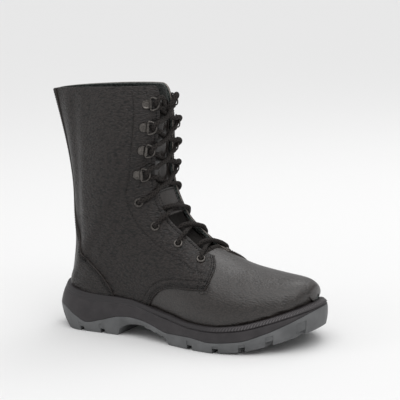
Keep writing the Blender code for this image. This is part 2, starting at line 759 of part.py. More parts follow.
def settle(skin, target, row, col):
    """Row and column of the skin nearest to a point, searched from a first guess."""
    for _ in range(SETTLE_ROUNDS):
        spot = reading(skin.points, row, col)
        by_row = (reading(skin.points, row + PROBE, col) - reading(skin.points, row - PROBE, col))/(2*PROBE)
        by_col = (reading(skin.points, row, col + PROBE) - reading(skin.points, row, col - PROBE))/(2*PROBE)
        step = np.linalg.lstsq(np.stack([by_row, by_col], axis=1), target - spot, rcond=None)[0]
        row = float(np.clip(row + step[0], PROBE, skin.points.shape[0] - 1 - PROBE))
        col = float(np.clip(col + step[1], PROBE, skin.points.shape[1] - 1 - PROBE))
    return row, col


def frame_at(skin, side, down, inward, lift):
    """Matrix at a spot beside the facing: X square to its edge, Z out of the leather."""
    facing = SIDE_CELLS if side == RIGHT else SIDE_CELLS + CENTRE_CELLS
    rows = np.arange(THROAT_ROW - 1, skin.points.shape[0])
    line = skin.points[rows, facing][::-1]
    length = np.concatenate([[0], np.cumsum(np.linalg.norm(np.diff(line, axis=0), axis=1))])
    place = rows[-1] - float(np.interp(down*length[-1], length, np.arange(len(rows))))
    near, far = (float(np.interp(at, length, np.arange(len(rows))))
                 for at in (down*length[-1] - EDGE_REACH, down*length[-1] + EDGE_REACH))
    along = Vector(lerp_row(line, near) - lerp_row(line, far)).normalized()
    out = Vector(reading(skin.normals, place, facing + side*0.5)).normalized()
    forward = -side*along.cross(out).normalized()
    target = np.array(Vector(reading(skin.points, place, facing)) - forward*inward)
    row, col = settle(skin, target, place, facing + side)
    normal = Vector(reading(skin.normals, row, col)).normalized()
    forward = (forward - forward.dot(normal)*normal).normalized()
    origin = Vector(reading(skin.points, row, col)) + lift*normal
    turn = Matrix((forward, normal.cross(forward), normal)).transposed().to_4x4()
    return Matrix.Translation(origin) @ turn


def punch(item, places):
    """Round holes through the leather where the eyelets sit."""
    for number, place in enumerate(places, 1):
        hole = disc_mesh(item.name + "_hole_%d" % number, EYELET_BORE + EYELET_METAL + GAP, 4*QUARTER)
        hole.matrix_world = place
        cut(item, hole)


def disc_mesh(name, radius, half_height):
    """Short cylinder about the local Z axis."""
    turns = [2*math.pi*k/EYELET_SIDES for k in range(EYELET_SIDES)]
    points = [(radius*math.cos(t), radius*math.sin(t), up) for up in (-half_height, half_height)
              for t in turns]
    count = EYELET_SIDES
    faces = [list(range(count)), [count + k for k in reversed(range(count))]]
    faces += [[(k + 1) % count, k, count + k, count + (k + 1) % count] for k in range(count)]
    return add_mesh(name, points, faces)


def make_eyelet(name, place, material):
    """Eyelet turned from a thin profile: a domed flange and a barrel through the leather."""
    deep = SEAT + QUARTER + GAP + WALL/2
    outer = EYELET_BORE + EYELET_METAL
    width = EYELET_RADIUS - EYELET_BORE
    dome = [(EYELET_BORE + width*spot.out, EYELET_DOME*spot.up) for spot in EYELET_PROFILE]
    profile = [(EYELET_BORE, -deep), *dome, (outer, 0.0), (outer, -deep)]
    points, faces = [], []
    for k in range(EYELET_SIDES):
        turn = 2*math.pi*k/EYELET_SIDES
        points += [(radius*math.cos(turn), radius*math.sin(turn), up) for radius, up in profile]
    around = len(profile)
    for k in range(EYELET_SIDES):
        after = (k + 1) % EYELET_SIDES
        for j in range(around):
            ahead = (j + 1) % around
            faces.append([k*around + j, k*around + ahead, after*around + ahead, after*around + j])
    item = add_mesh(name, points, faces, material)
    item.matrix_world = place
    return item


def make_loop(name, place, material):
    """Plate with a rounded back, whose front end is rolled into a barrel."""
    middle = PLATE_METAL + WIRE/2 + WIRE_PLAY
    small = WIRE/2 + WIRE_PLAY
    large = small + PLATE_METAL
    half = PLATE_WIDTH/2
    lower, upper, wide = [], [], []
    for share in PLATE_STEPS:
        x = -PLATE_LENGTH*(1 - share)
        lower.append((x, 0.0))
        upper.append((x, PLATE_METAL))
        wide.append(half*float(end_round(share*PLATE_LENGTH + half*PLATE_FLAT, half, PLATE_ROUND)))
    for k in range(ROLL_STEPS + 1):
        turn = math.radians(-90 + ROLL_TURN*k/ROLL_STEPS)
        lower.append((large*math.cos(turn), middle + large*math.sin(turn)))
        upper.append((small*math.cos(turn), middle + small*math.sin(turn)))
        wide.append(half)
    points, faces = [], []
    for (lx, lz), (ux, uz), w in zip(lower, upper, wide):
        points += [(lx, -w, lz), (lx, w, lz), (ux, -w, uz), (ux, w, uz)]
    for k in range(len(wide) - 1):
        a, b = 4*k, 4*k + 4
        for first, second in ((0, 1), (1, 3), (3, 2), (2, 0)):
            faces.append([a + first, a + second, b + second, b + first])
    end = 4*len(wide) - 4
    faces += [[1, 0, 2, 3], [end, end + 1, end + 3, end + 2]]
    item = add_mesh(name, points, faces, material)
    item.matrix_world = place
    return item


def tube(name, path, radius, sides, closed, material=None):
    """Round wire or lace along a path, its ring of points square to it."""
    path = [Vector(point) for point in path]
    count = len(path)
    points, faces = [], []
    side_way = None
    for k, point in enumerate(path):
        before = path[k - 1] if closed or k else path[0]
        after = path[(k + 1) % count] if closed or k < count - 1 else path[-1]
        ahead = (after - before).normalized()
        if side_way is None:
            side_way = ahead.orthogonal()
        side_way = (side_way - side_way.dot(ahead)*ahead).normalized()
        up_way = ahead.cross(side_way)
        for j in range(sides):
            turn = 2*math.pi*j/sides
            points.append(tuple(point + radius*(math.cos(turn)*side_way + math.sin(turn)*up_way)))
    spans = count if closed else count - 1
    for k in range(spans):
        after = (k + 1) % count
        for j in range(sides):
            ahead = (j + 1) % sides
            faces.append([k*sides + j, k*sides + ahead, after*sides + ahead, after*sides + j])
    if not closed:
        end = (count - 1)*sides
        faces += [list(reversed(range(sides))), [end + j for j in range(sides)]]
    return add_mesh(name, points, faces, material, sharp=80)


def make_ring(name, place, material):
    """Wire ring: a straight side in the barrel and a bow that tilts off the leather."""
    middle = PLATE_METAL + WIRE/2 + WIRE_PLAY
    tilt = math.radians(RING_TILT)
    half = RING_HEIGHT/2
    path = [(0.0, -half*RING_STRAIGHT), (0.0, half*RING_STRAIGHT)]
    for k in range(1, RING_STEPS):
        turn = math.pi/2 - math.pi*k/RING_STEPS
        path.append((RING_REACH*(1 - RING_BOW + RING_BOW*math.cos(turn)), half*math.sin(turn)))
    bent = [(reach*math.cos(tilt), up, middle + reach*math.sin(tilt)) for reach, up in path]
    item = tube(name, bent, WIRE/2, WIRE_SIDES, True, material)
    item.matrix_world = place
    return item


def make_patch(skin, material):
    """Stitched patch on the tongue, narrower than the gap between the facings."""
    low, high = PATCH_ROWS
    centre = SIDE_CELLS + CENTRE_CELLS//2
    columns = list(centre_columns()) + [SIDE_CELLS + CENTRE_CELLS]
    points = skin.points.copy()
    for col in columns:
        share = centre + (col - centre)*PATCH_WIDTH
        points[:, col] = lerp_row(skin.points.swapaxes(0, 1), share)
    moved = Skin(points, skin.normals, skin.index)
    cells = [(row, col) for row in range(low, high) for col in centre_columns()]
    return sheet_solid("tongue_patch", moved, cells, -WALL, PATCH - WALL, material)


def strand(skin, side, low, high):
    """Path of a lace from one side's lower fastening to the other side's upper one."""
    first = frame_at(skin, side, low, LACE_INWARD, LACE_LIFT).translation
    last = frame_at(skin, -side, high, LACE_INWARD, LACE_LIFT).translation
    centre, normal = centre_reading(skin, (low + high)/2)
    rise = max(0.0, (centre - (first + last)/2).dot(normal) + LACE)
    shares = [k/LACE_STEPS for k in range(LACE_STEPS + 1)]
    return [first.lerp(last, share) + normal*rise*math.sin(math.pi*share) for share in shares]


def centre_reading(skin, down):
    """Point and normal on the strip's centre line."""
    rows = np.arange(THROAT_ROW - 1, skin.points.shape[0])
    line = skin.points[rows, SIDE_CELLS][::-1]
    length = np.concatenate([[0], np.cumsum(np.linalg.norm(np.diff(line, axis=0), axis=1))])
    place = rows[-1] - float(np.interp(down*length[-1], length, np.arange(len(rows))))
    col = SIDE_CELLS + CENTRE_CELLS//2
    point, normal = lerp_row(skin.points, place)[col], lerp_row(skin.normals, place)[col]
    return Vector(point), Vector(normal).normalized()


def make_lacing(skin, material):
    """Crossings of the lace between one pair of fastenings and the next, and the lowest bar."""
    downs = [fastening.down for fastening in LOOPS + EYELETS]
    for number, (upper, lower) in enumerate(zip(downs, downs[1:]), 1):
        high, low = upper + LACE_APART, lower - LACE_APART
        path = strand(skin, RIGHT, low, high)
        item = tube("lace_cross_%d" % number, path, LACE/2, LACE_SIDES, False, material)
        other = tube(item.name + "_over", strand(skin, LEFT, low, high), LACE/2, LACE_SIDES, False)
        cut(item, other, "UNION")
    low = downs[-1] + LACE_APART
    tube("lace_bar", strand(skin, RIGHT, low, low), LACE/2, LACE_SIDES, False, material)


def main():
    """Builds every piece of the boot."""
    for item in list(bpy.data.objects):
        bpy.data.objects.remove(item)
    leather = finish("black_leather", "3a3736", 0.5)
    vamp_leather = finish("vamp_leather", "4a4744", 0.5)
    rubber = finish("grey_sole", "636566", 0.7)
    foam = finish("black_sole", "403c3f", 0.7)
    lining = finish("lining", "4c5350", 0.95)
    skin = make_skin()
    make_outsole(rubber)
    make_midsole(foam)
    make_insole(lining)
    steel = finish("gunmetal", "6f6a68", 0.35, 1.0)
    cord = finish("lace", "2e2b2a", 0.9)
    seat = GAP + QUARTER + SEAT
    eyes = {side: [frame_at(skin, side, spot.down, spot.inward*EYELET_FROM_EDGE, seat) for spot in EYELETS]
            for side in (RIGHT, LEFT)}
    upper = make_upper(skin, vamp_leather)
    make_tongue(skin, leather)
    make_patch(skin, leather)
    for side, label in ((RIGHT, "right"), (LEFT, "left")):
        make_quarter(side, skin, eyes[side], leather)
        punch(upper, eyes[side])
        for number, place in enumerate(eyes[side], 1):
            make_eyelet("eyelet_%s_%d" % (label, number), place, steel)
        for number, spot in enumerate(LOOPS, 1):
            place = frame_at(skin, side, spot.down, spot.inward*LOOP_FROM_EDGE, seat)
            make_loop("loop_%s_%d" % (label, number), place, steel)
            make_ring("dring_%s_%d" % (label, number), place, steel)
    make_counter(skin, leather)
    make_lacing(skin, cord)


if __name__ == "__main__":
    main()
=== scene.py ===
"""High lace-up leather safety boot for the right foot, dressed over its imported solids.

+X is the toe, +Y the wearer's left, +Z up. Lengths are in metres and the origin is the heel's flat spot.
"""

import logging
import math
from dataclasses import dataclass, field
from enum import Enum
from typing import Callable, NamedTuple, Sequence

import bpy
import numpy as np
from mathutils import Matrix, Vector
from mathutils.kdtree import KDTree


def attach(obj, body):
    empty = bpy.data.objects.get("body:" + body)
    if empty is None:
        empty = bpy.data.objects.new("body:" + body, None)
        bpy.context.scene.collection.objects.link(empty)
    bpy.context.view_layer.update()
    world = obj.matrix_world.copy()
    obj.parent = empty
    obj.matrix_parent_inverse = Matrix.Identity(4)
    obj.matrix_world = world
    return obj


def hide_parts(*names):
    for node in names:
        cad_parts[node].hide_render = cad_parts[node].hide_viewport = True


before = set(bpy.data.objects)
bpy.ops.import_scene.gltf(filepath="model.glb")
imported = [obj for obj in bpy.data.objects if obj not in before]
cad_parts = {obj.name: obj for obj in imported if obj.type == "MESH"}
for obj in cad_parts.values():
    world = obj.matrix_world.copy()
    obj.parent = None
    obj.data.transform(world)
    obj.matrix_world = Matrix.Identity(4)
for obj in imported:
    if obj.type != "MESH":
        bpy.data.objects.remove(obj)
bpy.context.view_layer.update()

LOG = logging.getLogger("boot")
MM = 0.001
LAST_ROW = 25
LAST_COLUMN = 24
MIDDLE = 12
HALF_THROAT = 2
THROAT_ROW = 9
WELD = 0.02*MM


class Side(Enum):
    """Side of the boot, with the sign of its Y."""

    RIGHT = -1
    LEFT = 1

    @property
    def label(self) -> str:
        """The side's word in the name of a piece."""
        return self.name.lower()

    @property
    def other(self) -> "Side":
        """The opposite side."""
        return Side(-self.value)

    def column(self, column: float | np.ndarray) -> float | np.ndarray:
        """A column of the right half, or its mirror image in the left half."""
        return column if self is Side.RIGHT else LAST_COLUMN - column


class SoleSection(NamedTuple):
    """A station of the sole, as shares of the sizes in Sole."""

    along: float
    right: float
    left: float
    swing: float
    ground: float
    join: float
    floor: float
    rim: float
    lean: float
    wall: float


SOLE = [
    SoleSection(0.000, 0.335, 0.345, 0.00, 0.11, 0.54, 0.66, 1.00, 1.00, 1.00),
    SoleSection(0.060, 0.335, 0.345, 0.00, 0.00, 0.51, 0.66, 0.97, 0.56, 1.00),
    SoleSection(0.120, 0.337, 0.343, 0.00, 0.00, 0.34, 0.65, 0.915, 0.37, 0.95),
    SoleSection(0.165, 0.339, 0.337, 0.00, 0.00, 0.22, 0.645, 0.885, 0.34, 0.91),
    SoleSection(0.225, 0.342, 0.328, 0.00, 0.00, 0.30, 0.635, 0.865, 0.33, 0.87),
    SoleSection(0.292, 0.346, 0.318, 0.00, 0.00, 0.42, 0.62, 0.85, 0.33, 0.82),
    SoleSection(0.304, 0.347, 0.316, 0.00, 0.16, 0.435, 0.61, 0.845, 0.33, 0.81),
    SoleSection(0.350, 0.353, 0.309, 0.00, 0.285, 0.455, 0.59, 0.83, 0.33, 0.77),
    SoleSection(0.390, 0.365, 0.309, 0.00, 0.305, 0.44, 0.545, 0.79, 0.33, 0.75),
    SoleSection(0.430, 0.385, 0.318, 0.00, 0.25, 0.405, 0.51, 0.745, 0.33, 0.72),
    SoleSection(0.490, 0.419, 0.340, 0.00, 0.165, 0.305, 0.445, 0.68, 0.33, 0.68),
    SoleSection(0.512, 0.432, 0.352, 0.00, 0.11, 0.27, 0.425, 0.66, 0.33, 0.665),
    SoleSection(0.525, 0.440, 0.358, 0.00, 0.00, 0.265, 0.41, 0.65, 0.33, 0.66),
    SoleSection(0.620, 0.497, 0.430, 0.04, 0.00, 0.28, 0.33, 0.56, 0.33, 0.60),
    SoleSection(0.700, 0.522, 0.480, 0.10, 0.00, 0.23, 0.32, 0.54, 0.33, 0.57),
    SoleSection(0.800, 0.495, 0.487, 0.22, 0.055, 0.285, 0.36, 0.595, 0.33, 0.55),
    SoleSection(0.880, 0.455, 0.475, 0.45, 0.16, 0.445, 0.435, 0.71, 0.37, 0.55),
    SoleSection(0.940, 0.435, 0.460, 0.70, 0.27, 0.62, 0.51, 0.82, 0.40, 0.55),
    SoleSection(1.000, 0.420, 0.450, 1.00, 0.40, 0.83, 0.585, 0.94, 0.47, 0.55),
]
LUG_GROOVES = [0.048, 0.133, 0.220, 0.610, 0.712, 0.802, 0.882, 0.960]


class Row(NamedTuple):
    """A row of the upper. In the foot, first is the share of the sole's length where it stands on the
    feather line. In the shaft, first is the share where its back is, and climb the back's height."""

    first: float
    climb: float
    top: float
    rise: float
    right: float
    left: float
    belly: float
    low: float
    high: float
    gap: float
    crown: float
    lift: float = 1.0


FOOT = [
    Row(1.000, 0, 0.9795, 0.540, 0.352, 0.384, 0.30, 2.0, 2.0, 0.070, 1.00),
    Row(0.993, 0, 0.9795, 0.600, 0.354, 0.385, 0.30, 2.0, 2.0, 0.110, 1.00),
    Row(0.975, 0, 0.9720, 0.670, 0.362, 0.388, 0.30, 2.0, 2.1, 0.200, 1.00),
    Row(0.945, 0, 0.9465, 0.712, 0.377, 0.398, 0.30, 2.0, 2.2, 0.300, 1.00),
    Row(0.900, 0, 0.9000, 0.741, 0.400, 0.412, 0.30, 2.0, 2.2, 0.420, 1.00),
    Row(0.850, 0, 0.8500, 0.758, 0.425, 0.428, 0.30, 2.0, 2.2, 0.500, 1.00),
    Row(0.790, 0, 0.7850, 0.795, 0.450, 0.434, 0.30, 2.0, 2.15, 0.520, 1.00),
    Row(0.720, 0, 0.7150, 0.857, 0.468, 0.430, 0.28, 2.0, 2.1, 0.550, 1.00),
    Row(0.660, 0, 0.6550, 0.947, 0.458, 0.402, 0.27, 2.0, 2.05, 0.630, 1.00),
    Row(0.610, 0, 0.6150, 1.010, 0.440, 0.372, 0.26, 2.0, 2.0, 0.760, 0.90),
    Row(0.530, 0, 0.5700, 1.082, 0.392, 0.328, 0.27, 2.0, 2.0, 0.800, 0.60),
    Row(0.430, 0, 0.5215, 1.161, 0.345, 0.316, 0.33, 2.0, 2.05, 0.820, 0.40),
    Row(0.365, 0, 0.5000, 1.205, 0.333, 0.319, 0.38, 2.0, 2.05, 0.840, 0.33),
    Row(0.300, 0, 0.4845, 1.252, 0.326, 0.322, 0.42, 2.0, 2.1, 0.870, 0.30),
    Row(0.180, 0, 0.4640, 1.348, 0.328, 0.328, 0.48, 2.0, 2.15, 0.920, 0.25),
    Row(0.100, 0, 0.4545, 1.406, 0.336, 0.336, 0.50, 2.0, 2.2, 0.880, 0.25),
    Row(0.045, 0, 0.4505, 1.459, 0.342, 0.342, 0.51, 2.0, 2.2, 0.850, 0.25),
    Row(0.012, 0, 0.4490, 1.508, 0.347, 0.347, 0.51, 2.0, 2.2, 0.825, 0.25),
    Row(0.000, 0, 0.4490, 1.541, 0.350, 0.350, 0.51, 2.0, 2.2, 0.800, 0.25),
]
SHAFT = [
    Row(0.0800, 0.245, 0.4500, 1.595, 0.445, 0.445, 0.50, 2.00, 2.2, 0.755, 0.25),
    Row(0.0965, 0.338, 0.4530, 1.657, 0.452, 0.452, 0.49, 2.00, 2.2, 0.700, 0.25),
    Row(0.0980, 0.450, 0.4580, 1.725, 0.450, 0.450, 0.48, 2.00, 2.2, 0.650, 0.25),
    Row(0.0925, 0.577, 0.4630, 1.798, 0.425, 0.425, 0.49, 1.95, 2.2, 0.600, 0.25),
    Row(0.0695, 0.724, 0.4655, 1.870, 0.365, 0.365, 0.52, 1.80, 2.2, 0.530, 0.25, 0.9),
    Row(0.0400, 0.855, 0.4660, 1.935, 0.290, 0.290, 0.56, 1.65, 2.2, 0.460, 0.25, 0.6),
    Row(0.0125, 0.973, 0.4640, 2.000, 0.215, 0.215, 0.60, 1.50, 2.2, 0.400, 0.25, 0.3),
]


class Fastening(NamedTuple):
    """Eyelet or loop: down is a share of the facing's length from the collar, inward is from its edge."""

    down: float
    inward: float


LOOPS = [Fastening(0.095, 0.00936), Fastening(0.210, 0.01236), Fastening(0.3235, 0.01248),
         Fastening(0.440, 0.01356)]
EYELETS = [Fastening(0.5585, 0.01956), Fastening(0.673, 0.01584), Fastening(0.8095, 0.0120),
           Fastening(0.94, 0.01152)]


class Crease(NamedTuple):
    """A soft trough of the leather along places (row, column), with its depth and half width."""

    places: Sequence[tuple[float, float]]
    depth: float
    width: float


def smooth(knots: np.ndarray, values: np.ndarray, at: np.ndarray) -> np.ndarray:
    """Monotone cubic curve through knots.

    Args:
        knots: rising places.
        values: value at each knot.
        at: places to read.

    Returns:
        The curve's value at each place.
    """
    step = np.diff(knots)
    slope = np.diff(values)/step
    product = slope[:-1]*slope[1:]
    total = np.where(product > 0, slope[:-1] + slope[1:], 1.0)
    inner = np.where(product > 0, 2*product/total, 0.0)
    tangent = np.concatenate([slope[:1], inner, slope[-1:]])
    k = np.clip(np.searchsorted(knots, at, side="right") - 1, 0, len(step) - 1)
    t = (np.asarray(at) - knots[k])/step[k]
    start = (2*t**3 - 3*t**2 + 1)*values[k] + (t**3 - 2*t**2 + t)*step[k]*tangent[k]
    end = (3*t**2 - 2*t**3)*values[k + 1] + (t**3 - t**2)*step[k]*tangent[k + 1]
    return start + end


def natural_spline(knots: np.ndarray, values: np.ndarray, at: np.ndarray) -> np.ndarray:
    """Cubic spline with free ends through rows of values.

    Args:
        knots: rising places, one per row.
        values: array whose first axis is the rows.
        at: places to read.

    Returns:
        Array with one row per place.
    """
    count = len(knots)
    step = np.diff(knots)
    flat = values.reshape(count, -1)
    system = np.eye(count)
    right = np.zeros_like(flat)
    for k in range(1, count - 1):
        system[k, k - 1:k + 2] = (step[k - 1], 2*(step[k - 1] + step[k]), step[k])
        right[k] = 6*((flat[k + 1] - flat[k])/step[k] - (flat[k] - flat[k - 1])/step[k - 1])
    bend = np.linalg.solve(system, right)
    k = np.clip(np.searchsorted(knots, at, side="right") - 1, 0, count - 2)
    h = step[k][:, None]
    a = ((knots[k + 1] - at)[:, None])/h
    b = 1 - a
    read = a*flat[k] + b*flat[k + 1] + ((a**3 - a)*bend[k] + (b**3 - b)*bend[k + 1])*h*h/6
    return read.reshape((len(at),) + values.shape[1:])


def soft_minimum(a: np.ndarray, b: np.ndarray, blend: float) -> np.ndarray:
    """Smaller of two values with a rounded change from one to the other."""
    gap = np.clip(blend - np.abs(a - b), 0, None)/blend
    return np.minimum(a, b) - gap*gap*blend/4


def run_of(path: np.ndarray) -> np.ndarray:
    """Length run up to each point of a path."""
    return np.concatenate([[0], np.cumsum(np.linalg.norm(np.diff(path, axis=0), axis=1))])


def read_path(path: np.ndarray, run: np.ndarray, at: float | np.ndarray) -> np.ndarray:
    """Points of a path at places on its run."""
    return np.stack([np.interp(at, run, path[:, k]) for k in range(path.shape[1])], axis=-1)


def even_steps(path: np.ndarray, cells: int) -> np.ndarray:
    """Points at equal steps along a path of points."""
    run = run_of(path)
    return read_path(path, run, np.linspace(0, run[-1], cells + 1))


def softened(values: np.ndarray, rounds: int) -> np.ndarray:
    """Values whose steps are evened out, with both ends kept."""
    soft = values.copy()
    for _ in range(rounds):
        soft[1:-1] = (soft[:-2] + 2*soft[1:-1] + soft[2:])/4
    return soft


def halve(test: Callable[[float], bool], start: float, end: float, rounds: int) -> tuple[float, float]:
    """Narrows the span in which a test stops holding.

    Args:
        test: holds at start and not at end.
        start: place where it holds.
        end: place where it doesn't.
        rounds: how often the span is halved.

    Returns:
        The new start and end.
    """
    for _ in range(rounds):
        middle = (start + end)/2
        start, end = (middle, end) if test(middle) else (start, middle)
    return start, end


def bezier(start: Sequence[float], corner: Sequence[float], end: Sequence[float], steps: int) -> np.ndarray:
    """Points of a soft bend from start to end, drawn towards its corner."""
    t = np.linspace(0, 1, steps + 1)[:, None]
    return (1 - t)**2*np.array(start) + 2*t*(1 - t)*np.array(corner) + t*t*np.array(end)


def tree_of(points: np.ndarray) -> KDTree:
    """Search tree over points."""
    tree = KDTree(len(points))
    for k, point in enumerate(points):
        tree.insert(point, k)
    tree.balance()
    return tree


def distances(points: np.ndarray, line: np.ndarray) -> np.ndarray:
    """Distance of each point to a line of points.

    Args:
        points: array (..., 3).
        line: array (n, 3), read as a curve.

    Returns:
        Array of distances, shaped as points without its last axis.
    """
    steps = np.linalg.norm(np.diff(line, axis=0), axis=1).sum()
    tree = tree_of(even_steps(line, max(2, int(steps/(0.25*MM)))))
    flat = points.reshape(-1, 3)
    found = np.array([tree.find(point)[2] for point in flat])
    return found.reshape(points.shape[:-1])


@dataclass
class Sole:
    """Outline and heights of the sole, read at shares of its length."""

    length: float = 0.305
    ball_width: float = 0.1165
    heel_rest: float = 0.040
    rim_height: float = 0.047
    rim_lean: float = 0.009
    rim_wall: float = 0.006
    toe_swing: float = 0.007
    heel_round: float = 0.043
    toe_round: float = 0.070
    toe_square: float = 2.2
    cup_play: float = 0.0015

    def read(self, name: str, along: np.ndarray) -> np.ndarray:
        """A column of the sole's table between its stations."""
        knots = np.array([row.along for row in SOLE])
        return smooth(knots, np.array([getattr(row, name) for row in SOLE]), np.asarray(along, float))

    def high(self, name: str, along: np.ndarray) -> np.ndarray:
        """A column of heights, in metres."""
        return self.read(name, along)*self.rim_height

    def round_end(self, distance: np.ndarray, radius: float, square: float) -> np.ndarray:
        """Share of the full width that is left this far from a rounded end."""
        near = np.clip(1 - distance/radius, 0, 1)
        return (1 - near**square)**(1/square)

    def edge(self, along: np.ndarray, inset: np.ndarray) -> tuple[np.ndarray, np.ndarray, np.ndarray]:
        """X, right Y and left Y of the outline, moved in by inset."""
        along = np.asarray(along, float)
        x = inset + along*(self.length - 2*inset) - self.heel_rest
        heel = self.round_end(along*self.length, self.heel_round, 2.0)
        toe = self.round_end((1 - along)*self.length, self.toe_round, self.toe_square)
        middle = self.read("swing", along)*self.toe_swing
        right = middle - (self.read("right", along)*self.ball_width - inset)*heel*toe
        left = middle + (self.read("left", along)*self.ball_width - inset)*heel*toe
        return x, right, left

    def cup_inset(self, along: np.ndarray) -> np.ndarray:
        """How far the inside of the cup's rim stands in from the outline."""
        return self.read("lean", along)*self.rim_lean + self.read("wall", along)*self.rim_wall

    def feather(self, along: np.ndarray) -> np.ndarray:
        """How far the upper stands in from the outline."""
        return self.cup_inset(along) + self.cup_play

    def stations(self, count: int) -> np.ndarray:
        """Shares of the length, closer together at the rounded ends."""
        return (1 - np.cos(np.linspace(0, math.pi, count)))/2


@dataclass
class Last:
    """Surface of the foot and the shaft, which every leather sheet follows.

    A place on it is a row, from the toe (0) to the collar (25), and a column, from the right end (0)
    over the facings (10 and 14) to the left end (24).
    """

    sole: Sole
    creases: Sequence[Crease] = ()
    instep: float = 0.091
    collar: float = 0.2565
    shaft_width: float = 0.093
    throat: float = 0.0205
    rows_fine: int = 8
    columns_fine: int = 6
    points: np.ndarray = field(init=False)
    normals: np.ndarray = field(init=False)

    def __post_init__(self) -> None:
        """Builds the fine grid from the tables of rows."""
        rough = np.array([self.foot_row(row) for row in FOOT] + [self.shaft_row(row) for row in SHAFT])
        mirrored = rough[3:0:-1, ::-1]
        rows = np.concatenate([mirrored, rough])
        step = np.linalg.norm(np.diff(rows, axis=0), axis=2).mean(axis=1)
        knots = np.concatenate([[0], np.cumsum(step)])
        at = np.interp(np.linspace(0, len(rough) - 1, (len(rough) - 1)*self.rows_fine + 1),
                       np.arange(len(rough)), knots[3:])
        self.points = natural_spline(knots, rows, at)
        self.normals = self.find_normals()
        for crease in self.creases:
            line = self.line(self.fine_places(np.array(crease.places, float), 12))
            away = distances(self.points, line)/crease.width
            trough = -np.exp(-away**2) + 0.45*np.exp(-(away - 1.9)**2)
            self.points += (crease.depth*trough)[..., None]*self.normals
        self.normals = self.find_normals()

    def find_normals(self) -> np.ndarray:
        """Normals of the fine grid, matched where its two ends meet."""
        along = np.gradient(self.points, axis=0)
        across = np.gradient(self.points, axis=1)
        normal = np.cross(across, along)
        back = (len(FOOT) - 1)*self.rows_fine
        meet = normal[back:, 0] + normal[back:, -1]
        meet[:, 1] = 0
        normal[back:, 0] = normal[back:, -1] = meet
        tip = normal[1] + normal[1, ::-1]
        tip[:, 1] = 0
        normal[0] = tip
        return normal/np.maximum(np.linalg.norm(normal, axis=2, keepdims=True), 1e-12)

    def cup_room(self, x: np.ndarray, up: np.ndarray, side: Side) -> np.ndarray:
        """Half width that the cup's rim leaves at these places, growing above the rim."""
        along = np.linspace(0, 1, 400)
        places, right, left = self.sole.edge(along, self.sole.feather(along))
        middle = self.sole.read("swing", along)*self.sole.toe_swing
        half = middle - right if side is Side.RIGHT else left - middle
        over = up - np.interp(x, places, self.sole.high("rim", along))
        return np.interp(x, places, half) + 1.5*np.maximum(0, over + 1.2*MM)

    def half_row(self, bottom: tuple, top: tuple, start: float, width: float, side: Side,
                 row: Row) -> tuple[np.ndarray, np.ndarray]:
        """One side of a row: from its end to the facing line, then over to the top."""
        count = 140
        turn = np.linspace(0, math.pi/2, count)
        cosine = np.clip(np.cos(turn), 0, 1)
        first = start/width if width > 0.3*MM else 1.0
        under = (1 - cosine**2*(1 - first**row.low))**(1/row.low)
        over = cosine**(2/row.high)
        shape = np.concatenate([under, over[1:]])
        rise = np.concatenate([row.belly*(1 - cosine**(2/row.low)),
                               (row.belly + (1 - row.belly)*np.sin(turn)**(2/row.high))[1:]])[:, None]
        path = np.array(bottom)*(1 - rise) + np.array(top)*rise
        path[:, 2] = bottom[2] + (top[2] - bottom[2])*rise[:, 0]**row.lift
        room = self.cup_room(path[:, 0], path[:, 2], side)
        path[:, 1] += side.value*soft_minimum(width*shape, room, 3*MM)
        reach = min(row.gap*self.throat/width, 1.0) if width > 0.3*MM else row.gap
        steps = np.arange(count - 1, 2*count - 1)
        place = float(np.interp(reach, shape[steps][::-1], steps[::-1]))
        low = min(int(place), 2*count - 3)
        facing = path[low]*(1 - place + low) + path[low + 1]*(place - low)
        outer = even_steps(np.vstack([path[:low + 1], facing]), 10*self.columns_fine)
        crest = even_steps(np.vstack([facing, path[low + 1:]]), 2*self.columns_fine)
        return outer, crest

    def full_row(self, bottom: tuple, top: tuple, starts: tuple, widths: tuple, row: Row) -> np.ndarray:
        """Points of a whole row, with the strip between its facings pulled flat."""
        right, right_over = self.half_row(bottom, top, starts[0], widths[0], Side.RIGHT, row)
        left, left_over = self.half_row(bottom, top, starts[1], widths[1], Side.LEFT, row)
        centre = np.vstack([right_over, left_over[::-1][1:]])
        share = np.linspace(0, 1, len(centre))[:, None]
        chord = right[-1]*(1 - share) + left[-1]*share
        centre = chord + row.crown*(centre - chord)
        return np.vstack([right[:-1], centre, left[::-1][1:]])

    def height(self, rise: float) -> float:
        """Height of a row's top: 0 is the ground, 1 the instep and 2 the collar."""
        return rise*self.instep if rise < 1 else self.instep + (rise - 1)*(self.collar - self.instep)

    def foot_row(self, row: Row) -> np.ndarray:
        """Row of the foot, standing on the feather line."""
        along = np.array([row.first])
        x, right, left = (float(v[0]) for v in self.sole.edge(along, self.sole.feather(along)))
        middle = float(self.sole.read("swing", along)[0])*self.sole.toe_swing
        toe = float(self.sole.round_end((1 - along)*self.sole.length, self.sole.toe_round,
                                        self.sole.toe_square)[0])
        bottom = (x, middle, float(self.sole.high("floor", along)[0]) + 0.3*MM)
        top = (row.top*self.sole.length - self.sole.heel_rest, middle, self.height(row.rise))
        widths = (row.right*self.sole.ball_width*toe, row.left*self.sole.ball_width*toe)
        return self.full_row(bottom, top, (middle - right, left - middle), widths, row)

    def shaft_row(self, row: Row) -> np.ndarray:
        """Row of the shaft, which meets itself at the back."""
        bottom = (row.first*self.sole.length - self.sole.heel_rest, 0.0, row.climb*self.collar)
        top = (row.top*self.sole.length - self.sole.heel_rest, 0.0, self.height(row.rise))
        widths = (row.right*self.shaft_width, row.left*self.shaft_width)
        return self.full_row(bottom, top, (0.0, 0.0), widths, row)

